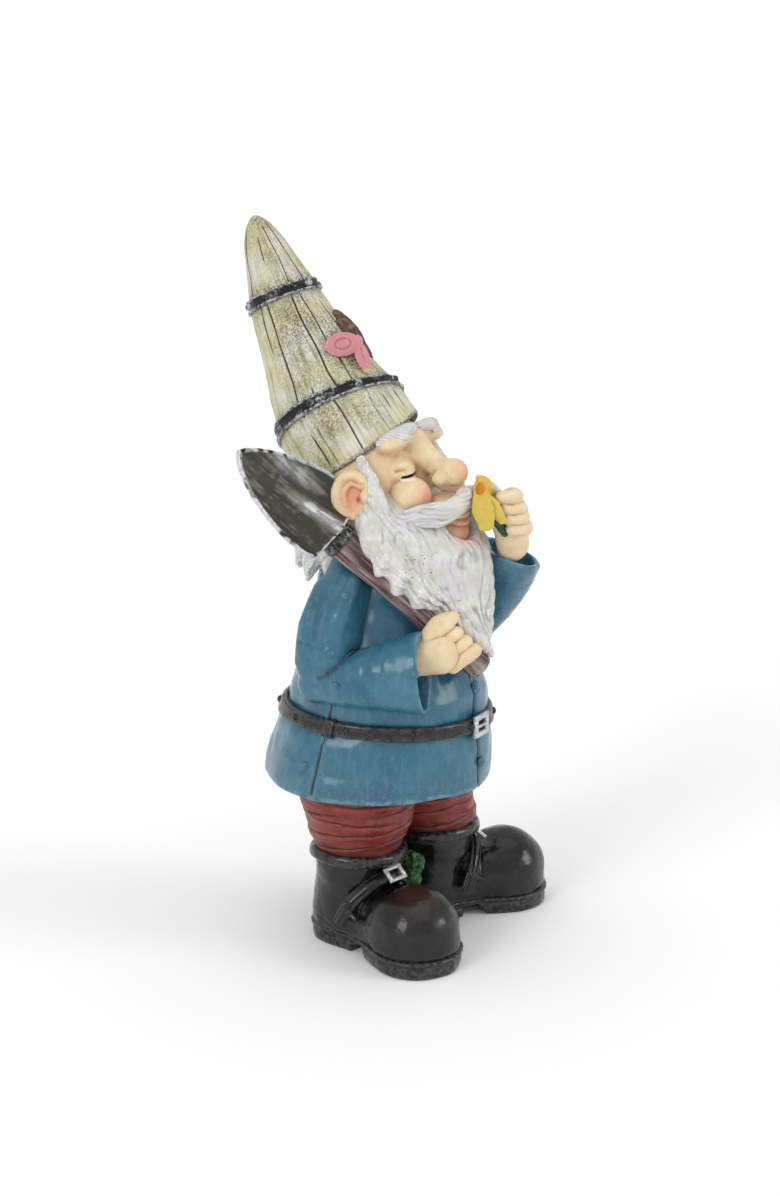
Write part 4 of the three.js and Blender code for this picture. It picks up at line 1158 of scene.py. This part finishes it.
def make_blade():
    """A dished, pressed blade with a rolled rim; its socket's ridge fades towards the tip."""
    angle = turns(300)
    to_tip = np.sin(angle) > 0
    sharp = np.where(to_tip, 1.45, 5.0)
    reach = (np.abs(np.cos(angle)) ** sharp + np.abs(np.sin(angle)) ** sharp) ** (-1 / sharp)
    rings = 1 - (1 - np.linspace(0, 1, 70)) ** 1.3

    def face(ring, out):
        x = np.cos(angle) * ring * reach * BLADE_HALF
        y = np.sin(angle) * ring * reach * np.where(to_tip, BLADE_TIP - BLADE_MIDDLE, BLADE_TAIL)
        dish = 9 * (x / BLADE_HALF) ** 2 + 3 * (y / 60) ** 2
        socket = np.clip(1 - (y + BLADE_MIDDLE) / 70, 0, 1)
        ridge = np.exp(-(x / (4.5 + 8 * socket)) ** 2) * 14.5 * socket ** 1.2
        bead = 1.9 * np.exp(-((1 - ring) / 0.05) ** 2)
        dents = 0.5 * noise(sheet(x, y), (5, 12, 5), 111)
        z = dish + out * 1.6 + (ridge + bead + dents if out > 0 else -bead * 0.4)
        return (SOCKET + x[:, None] * BLADE_ACROSS + (y + BLADE_MIDDLE)[:, None] * BLADE_AXIS
                + z[:, None] * BLADE_FACE)

    rows = [face(ring, -1) for ring in rings[1:]] + [face(1.012, 0.0)]
    rows += [face(ring, 1) for ring in rings[:0:-1]]
    turn = turns(80)[:, None]
    round_about = BLADE_ACROSS * np.cos(turn) + BLADE_FACE * np.sin(turn)
    profile = [(4, 0, 9.6), (2.4, 0, 10.2), (2.0, 0, 11.2), (3.0, 0, 11.9), (6, 0.3, 11.8), (9, 0.3, 11.4),
               (14, -0.5, 9.5), (20, -1.5, 6.0), (24, -2, 3.0)]
    neck = [SOCKET + BLADE_AXIS * lift + BLADE_FACE * rise + round_about * radius
            for lift, rise, radius in profile]
    shape = merged([loft(rows), loft(neck)])
    shape.roughened((0.15, 3, 112))
    x, y, _ = ((shape.points - SOCKET) @ np.stack([BLADE_ACROSS, BLADE_AXIS, BLADE_FACE], 1)).T
    streak = 0.7 * noise(sheet(x, y), (1.4, 11, 1), 113) + 0.5 * noise(shape.points, 3, 114)
    bright = 0.85 * np.exp(-((x - 1) / 5) ** 2) * np.clip((62 - y) / 30, 0, 1)
    bright = np.maximum(bright, 0.5 * np.exp(-((x - 15) / 6) ** 2) * np.clip((y - 20) / 30, 0, 1))
    rim = np.full(len(shape.points), 0.6)
    blade = np.repeat(np.concatenate([rings[1:], [1.0], rings[:0:-1]]), len(angle))
    rim[:len(blade)] = np.clip((blade - 0.93) / 0.04, 0, 1)
    rim[len(blade):len(blade) + 2] = 0       # the middles of the two faces
    piece("blade", shape, blade_paint(), ["shovel_blade"],
          {"bright": np.maximum(bright, rim), "streak": np.maximum(streak, rim * (0.3 + streak))}, 6)


def make_handle():
    bow, long = np.array((-2, -2, 1)), HANDLE_END - SOCKET
    places = np.linspace(0, 1, 180)
    spine = curve([SOCKET + BLADE_AXIS * 12, SOCKET + long * 0.28 + bow, SOCKET + long * 0.65 + bow,
                   HANDLE_END], places)
    ahead = np.gradient(spine, axis=0)
    ahead /= np.linalg.norm(ahead, axis=1, keepdims=True)
    side = np.cross(ahead, (0.3, 0.2, 1))
    side /= np.linalg.norm(side, axis=1, keepdims=True)
    up = np.cross(side, ahead)
    angle, place = np.meshgrid(turns(110), places)
    flat = sheet(angle * 8, place * 115)
    grain = 0.5 * noise(flat, (1.5, 14, 1), 121) + 0.3 * noise(flat, (5, 24, 1), 122)
    notch = groove(turned_angle(angle - 2.2) * 8, 1.8, 3.5) * np.clip((place - 0.93) / 0.05, 0, 1)
    radius = 9.2 - 0.5 * place + grain + notch + 0.7 * noise(flat, (50, 16, 1), 123)
    radius = radius * np.where(place > 0.985, 0.93, 1)
    shape = loft(spine[:, None] + radius[..., None] * (np.cos(angle)[..., None] * side[:, None]
                                                       + np.sin(angle)[..., None] * up[:, None]))
    shape.turn_over()                        # its rings run clockwise around the spine
    edge = np.clip(0.9 * np.cos(turned_angle(angle - 2.4)) - 0.35, 0, 1) * 1.2
    piece("handle_shaft", shape, handle_paint(), ["shovel_handle"],
          {"edge": for_loft(edge), "grain": for_loft(2 * grain)}, 5)


# ------------------------------------------------------------------ flower
def make_flower():
    heart, away = np.array((-1, -69, 317.0)), unit((-0.8, -0.54, 0.26))
    right, up = np.array((0.56, -0.83, 0)), np.array((0.21, 0.15, 0.97))
    clay = Clay((-22, -94, 276), (30, -54, 336), 0.45)
    clay.ball(heart, (4, 4, 5), 1)
    # how far aside a petal leans, how far it drops, its width, how far its root stands out
    petals = [(0.16, -28, 7.4, 1.5), (0.7, 8, 6.5, 0.5), (0.72, -23, 4.6, -1.5), (-0.35, -14, 5, -2.5),
              (1.6, -5, 5, -4)]
    for aside, drop, wide, lift in petals:
        ahead = unit(right * aside * abs(drop) + up * drop)
        long = abs(drop) * math.hypot(1, aside)
        across = np.cross(ahead, away)
        root = heart + away * lift
        clay.tube([root, root + ahead * long * 0.5 + away * 1.5, root + ahead * (long - 3) - away],
                  [(wide * 0.6, 2.8), (wide, 2.6), (wide * 0.62, 1.8)], across, 0.9)
        for aslant in (-0.35, 0, 0.35):
            vein = [root + ahead * long * t + across * aslant * wide * 1.3 * t + away * 4.2
                    for t in (0.25, 0.6, 0.95)]
            clay.carve(vein, [0.4, 0.7, 0.5], blend=0.9)
    clay.ball(heart + away * 4, (3, 3, 4), 1.2, True)
    shape = clay.shape().roughened((0.35, 4, 131))
    throat = 1.2 * closeness(shape.points, heart + away * 2, (4, 5, 5))
    piece("yellow_bloom", shape, flower_paint(), ["flower_bloom"], {"throat": throat}, 6)

    clay = Clay((0, -84, 276), (30, -68, 304), 0.4)
    clay.tube([(6, -77, 297), (12, -77, 290), (19, -76, 285)], [2.8, 2.6, 2.3], blend=1)
    clay.tube([(10, -78, 293), (14, -80, 288), (19, -80, 286)], [(1.2, 1.0), (3, 1.0), (1, 0.8)],
              (0, 0.3, 1), 0.8)
    stalk = clay.shape().roughened((0.2, 2, 133))
    piece("bloom_stalk", stalk, stem_paint(), ["flower_stem"], passes=5)


# ------------------------------------------------------------------ legs and boots
ANKLE_HIGH = 62.0
LEG_RADIUS = 35.0                        # a middling one, for distances around a leg
# each foot's place, and how many degrees it is turned; each leg's knee and hip
FEET = {"right": ((-25, 9, 0), -12), "left": ((41, -8, 0), 58)}
LEGS = {"right": ((-28, 6, 88), (-31, 5, 134)), "left": ((35, -3, 88), (31, 3, 134))}
# each crease's height and lean, the direction that it faces and its spread in degrees
CREASES = [(76, 0.10, 200, 70), (80.5, -0.05, 275, 60), (87, 0.06, 180, 55), (90, 0.02, 262, 75),
           (97, -0.10, 210, 60), (101, 0.08, 160, 45), (104, 0.04, 285, 70), (110, -0.07, 240, 85),
           (84, 0.05, 60, 90), (96, -0.06, 20, 80), (107, 0.05, 100, 90)]


def make_leg(side, material):
    ankle, (knee, hip) = np.array(FEET[side][0], float), LEGS[side]
    spine = [ankle + (0, 0, 60), ankle + (0, 0, 72), knee, (np.array(knee) + hip) / 2, hip]
    places = np.linspace(0, 1, 110)
    middle = curve(spine, places)
    radius = curve([27, 29.5, 35.5, 40.5, 42], places)
    angle = np.tile(turns(300), (len(places), 1))
    height = middle[:, 2:] + 0 * angle
    sign, shift = (1, 34) if side == "left" else (-1, 0)    # the left leg's creases face elsewhere
    ground = np.stack([np.cos(angle) * LEG_RADIUS, np.sin(angle) * LEG_RADIUS, height], -1)
    soft = np.clip((124 - height) / 20, 0, 1)
    out = 0.25 * np.sin(height / 3.4 + 5 * noise(ground, (30, 30, 20), 140)) * soft
    out = out + 1.3 * noise(ground, (22, 22, 8), 141) + 0.4 * noise(ground, (8, 8, 4), 142)
    crack = np.zeros_like(out)
    for level, lean, facing, spread in CREASES:
        turn = turned_angle(angle - math.radians(facing + shift))
        ends = np.clip(1.4 - np.abs(turn) / math.radians(spread * 0.75), 0, 1)
        across = height - level - lean * turn * LEG_RADIUS - 0.8 * np.sin(turn * 3)
        across = across + 0.9 * noise(ground, 9, 143)
        cut = groove(across, 0.5, 1.2) * ends
        crack = np.maximum(crack, -cut)
        out = out + cut + 0.5 * np.exp(-((across + 2.4) / 1.8) ** 2) * ends
    reach = radius[:, None] + out
    rows = np.stack([middle[:, :1] + np.cos(angle) * reach, middle[:, 1:2] + np.sin(angle) * reach,
                     height], -1)
    rows[..., 0] = np.where(sign * rows[..., 0] < 0.3, sign * 0.3, rows[..., 0])
    shape = loft(rows)
    dust = np.clip((84 - shape.points[:, 2]) / 16, 0, 1)
    piece(f"trouser_{side}", shape, material, [f"leg_{side}"],
          {"dust": dust, "crack": for_loft(crack)}, 8)


def to_foot(shape, side):
    place, turn = FEET[side]
    shape.points = shape.points @ rotation(z=turn).T + np.array(place, float)
    return shape


def sole_outline(grow):
    """Ring of points around a boot's sole in its own frame, toes towards -Y."""
    def arc(radius, middle, start, end, count):
        return [((radius + grow) * math.cos(a), middle + (radius + grow) * math.sin(a))
                for a in np.linspace(start, end, count)]

    toe = arc(29, -56, -math.pi - 0.25, 0.25, 60)
    waist = [curve([toe[-1], (20.5 + grow, -20), (23 + grow, 8)], t) for t in np.linspace(0.05, 0.95, 22)]
    return np.array(toe + [tuple(place) for place in waist] + arc(23, 11, 0, math.pi, 44)
                    + [(-x, y) for x, y in waist[::-1]])


def boot_clay():
    clay = Clay((-36, -92, 8), (36, 42, 66), 0.8)
    clay.ball((0, -55, 25), (29, 30, 28), 4)
    clay.ball((0, -55, 15), (29, 29.5, 14), 5)
    clay.tube([(0, 10, 16), (0, -32, 16)], [(23, 10), (22, 10)], blend=5)
    clay.tube([(0, 10, 4), (0, 8, 20), (0, 2, 44), (0, 0, ANKLE_HIGH + 6)],
              [(23, 25), (25, 27), (26, 28), (29, 30)], blend=6)
    clay.tube([(0, 0, 24), (0, -22, 24), (0, -44, 24)], [(23, 24), (23, 23), (26, 24)], blend=6)
    clay.ball((0, -34, 54), (17, 9, 6), 6, True, (35, 0, 0))
    for side in (-1, 1):
        clay.carve([(side * 27, -26, 12), (side * 25, -27, 28), (side * 16, -29, 42), (0, -31, 49)],
                  [0.7, 1.1, 1.1, 0.8], blend=1.6)
        clay.carve([(side * 26, -8, 13), (side * 26, -14, 26), (side * 22, -20, 38)], [0.6, 1.0, 0.7],
                  blend=1.5)
        clay.carve([(side * 17, 31, 17), (side * 25, 16, 20), (side * 26, 2, 17), (side * 24, -4, 13)],
                  [0.6, 0.9, 0.9, 0.5], blend=1.2)
    clay.plane((0, 0, 12.3), (0, 0, -1), 0.6)
    clay.plane((0, 0, ANKLE_HIGH), (0, 0, 1), 0.6)
    return clay


def boot_sole():
    """A sole with ragged edges, arched up in front of the heel."""
    # (height, mm wider than the outline, how ragged)
    levels = [(0.0, -1.6, 0), (0.4, -0.4, 1), (2.0, 0.6, 1), (8.6, 0.9, 1), (9.6, 0.2, 1), (10.2, 1.6, 1),
              (11.6, 1.9, 1), (12.3, 1.0, 1)]
    rows = []
    for height, grow, rough in levels:
        ring = sole_outline(grow)
        ring = np.column_stack([ring, np.full(len(ring), height)])
        arch = np.clip((ring[:, 1] + 32) / 6, 0, 1) * (7.3 + 1.2 * np.clip((-10 - ring[:, 1]) / 20, 0, 1))
        ring[:, 2] = np.maximum(ring[:, 2], arch + height * 0.15)
        ragged = noise(ring, (5, 5, 8), 155) * 0.6 + noise(ring, 2.2, 156) * 0.12
        away = ring[:, :2] - ring[:, :2].mean(0)
        ring[:, :2] += away / np.linalg.norm(away, axis=1, keepdims=True) * (ragged * rough)[:, None]
        rows.append(ring)
    return loft(rows)


def boot_heel():
    ring = sole_outline(0.3)
    back = np.array(sorted(ring[ring[:, 1] > -15].tolist(), key=lambda p: math.atan2(p[0], p[1] - 4)))
    rows = []
    for height, scale in ((0, 0.96), (0.5, 1.0), (3, 1.01), (6.2, 1.0), (7.2, 0.98)):
        flat = (back - (0, 4)) * scale + (0, 4)
        level = np.full(len(flat), height)
        ragged = noise(np.column_stack([flat, level]), 5, 158) * 0.5
        rows.append(np.column_stack([(flat * (1 + ragged[:, None] / 24))[::-1], level]))
    return loft(rows)


def boot_collar():
    """A lumpy roll around the ankle."""
    angle, around = np.meshgrid(turns(220), turns(18))
    lumps = noise(np.stack([np.cos(angle) * 30, np.sin(angle) * 30, around * 3], -1), (7, 7, 4), 161)
    thick = 1 + 0.16 * lumps
    reach = 30.0 + 3.1 * thick * np.cos(around)
    level = ANKLE_HIGH + 3.6 + 0.9 * np.sin(angle * 2 + 1)
    return hoop(np.stack([reach * np.cos(angle), reach * np.sin(angle),
                          level + 3.9 * thick * np.sin(around)], -1))


def boot_strap():
    """A strap over the instep with two grooves along it and a loop at each end."""
    clay = Clay((-36, -46, 16), (36, -4, 64), 0.6)
    half = [(-30, -13, 24), (-25, -20, 39), (-10, -28, 51.5)]
    strap = half + [(-x, y, z) for x, y, z in half[::-1]]
    clay.tube(strap, [(5, thick) for thick in (2, 2.6, 3.2, 3.2, 2.6, 2)], (0, 0.8, 0.6), 1)
    for shift in (-2.2, 2.2):
        clay.carve([np.array(place) * 1.07 + (0, shift * 0.8 + 1.4, shift * 0.6 - 2.2) for place in strap],
                   [0.7] * 6, blend=0.8)
    for end in (-1, 1):
        clay.tube([(end * 26, -25, 29), (end * 27.5, -15, 35)], [(2.2, 2), (2.2, 2)], blend=1)
    return clay.shape()


def make_boot(side, leather, silver, boot):
    def add(name, node, shape, passes, paint=leather, slot="boot_black", **marks):
        piece(f"boot_{name}_{side}", to_foot(shape, side), paint, [f"{node}_{side}"], marks, passes)

    upper = Shape(boot.points.copy(), boot.quads)
    scuff = 0.9 * closeness(upper.points, (-4, -60, 50), (14, 16, 12)) * (side == "right")
    add("upper", "boot", upper.roughened((0.35, 9, 151), (0.12, 3, 152)), 12, scuff=scuff)
    add("sole", "sole", boot_sole(), 5)
    add("heel", "heel", boot_heel(), 4)
    add("rolled_collar", "boot_collar", boot_collar(), 6)
    add("instep_strap", "boot_strap", boot_strap(), 6)

    sign = -1 if side == "right" else 1
    frame_shape = buckle_frame(14, 11, 2.4, prong=False)
    spin = rotation(x=-48) @ rotation(z=sign * 5)
    frame_shape.points = frame_shape.points @ spin.T + (-sign * 3, -32.6, 55.4)
    add("strap_buckle", "boot_buckle", frame_shape, 3, silver, "buckle_silver")


def make_moss():
    clay = Clay((-8, -26, 0), (30, 14, 60), 0.7)
    for place, radius in (((8, -6, 8), 11), ((11, -3, 22), 10.5), ((10, -8, 36), 10), ((12, -11, 47), 8)):
        clay.ball(place, radius, 4)
    clay.plane((0, 0, 0.2), (0, 0, -1), 0.3)
    shape = clay.shape()
    tufts = 1.6 * noise(shape.points, 3.2, 171) + 0.9 * noise(shape.points, 1.6, 172)
    above = np.clip(shape.points[:, 2] / 2, 0, 1)
    shape.pushed(tufts * above)
    moss = stem_paint("moss_paint", (36, 88, 44), (104, 146, 92))
    piece("moss", shape, moss, ["moss_tuft"], passes=4)


def make_buttons(coat):
    places = {"button_front_hem": (-86.5, 133.5), "button_front_chest": (-83, 183.5),
              "button_side_right": (171.5, 136), "button_side_left": (8.5, 136)}
    for name, (degrees, height) in places.items():
        shape = stud(coat_skin, math.radians(degrees), height, 0.4, 3.4, 2.4, 1.0)
        piece(f"coat_{name}", shape, coat, [name], passes=4)


# ------------------------------------------------------------------ studio
def make_studio():
    """A pale floor that curves up far away, plain white surroundings and three soft lamps."""
    bpy.context.scene.view_settings.view_transform = "Standard"
    turn = turns(96)
    reach = np.array([0.01, 2, 5, 6, 7, 8, 9, 10, 11, 12, 13, 14])
    rise = 1.5 * np.clip((reach - 6) / 8, 0, 1) ** 2
    rings = np.stack([np.outer(reach, np.cos(turn)), np.outer(reach, np.sin(turn)),
                      np.repeat(rise[:, None], 96, 1)], -1)
    index = np.arange(rings[..., 0].size).reshape(rings.shape[:2])
    right = np.roll(index, -1, 1)
    faces = np.stack([index[:-1], index[1:], right[1:], right[:-1]], -1).reshape(-1, 4).tolist()
    mesh = bpy.data.meshes.new("studio_floor")
    mesh.from_pydata(rings.reshape(-1, 3).tolist(), [], faces + [index[0].tolist()])
    mesh.shade_smooth()
    floor = add_object("studio_floor", mesh)
    pale = bpy.data.materials.new("studio_pale")
    pale.use_nodes = True
    shader = pale.node_tree.nodes["Principled BSDF"]
    shader.inputs["Base Color"].default_value = (0.97, 0.97, 0.97, 1)
    shader.inputs["Roughness"].default_value = 0.9
    mesh.materials.append(pale)
    world = bpy.data.worlds.new("studio_world")
    bpy.context.scene.world = world
    world.use_nodes = True
    background = world.node_tree.nodes["Background"]
    background.inputs["Color"].default_value = (1, 1, 1, 1)
    background.inputs["Strength"].default_value = 0.7
    lamps = [("left", (-2.2, 0.2, 1.3), 26, 0.95), ("right", (0.8, -2.0, 1.2), 24, 0.75),
             ("top", (-0.3, -0.3, 3.0), 60, 0.45)]
    for name, place, spread, power in lamps:
        data = bpy.data.lights.new(name, "SUN")
        data.energy, data.angle = power, math.radians(spread)
        lamp = add_object(name, data)
        lamp.location = place
        lamp.rotation_euler = (Vector((0, 0, 0.25)) - Vector(place)).to_track_quat("-Z", "Y").to_euler()


def make_camera():
    """The photograph's view: 56 degrees to the gnome's right, 15 degrees up, from 1.35 m."""
    azimuth, elevation, distance = math.radians(-56), math.radians(15), 1350 * MM
    target = np.array((0, 0, 235 * MM)) + ORIGIN
    back = np.array((math.sin(azimuth) * math.cos(elevation), -math.cos(azimuth) * math.cos(elevation),
                     math.sin(elevation)))
    data = bpy.data.cameras.new("camera")
    data.lens, data.sensor_width = 61.56, 36
    camera = add_object("camera", data)
    camera.location = target + back * distance
    camera.rotation_euler = Vector(-back).to_track_quat("-Z", "Y").to_euler()
    bpy.context.scene.camera = camera


make_studio()
make_camera()

iron = iron_paint()
make_hat()
hat_band("hat_band_upper", lambda angle: UPPER_BAND + 0 * angle, 8, 6, iron)
hat_band("hat_band_lower", lower_band_level, 9, 8, iron)
make_knot()
make_bow()
make_head()
skin_material = bpy.data.materials["skin_paint"]
make_ear(-1, "right", skin_material)
make_ear(1, "left", skin_material)
make_brows_and_moustache()
make_beard()
make_back_hair()
make_coat()
coat_material = bpy.data.materials["coat_paint"]
boot_material, buckle_material = leather_paint(), silver_paint()
make_belt(leather_paint("belt_paint", (21, 18, 18), 0.34), buckle_material)
make_sleeves(coat_material)
make_hands(skin_material)
make_blade()
make_handle()
make_flower()
trousers = trouser_paint()
upper = boot_clay().shape()
for side in ("right", "left"):
    make_leg(side, trousers)
    make_boot(side, boot_material, buckle_material, upper)
make_moss()
make_buttons(coat_material)
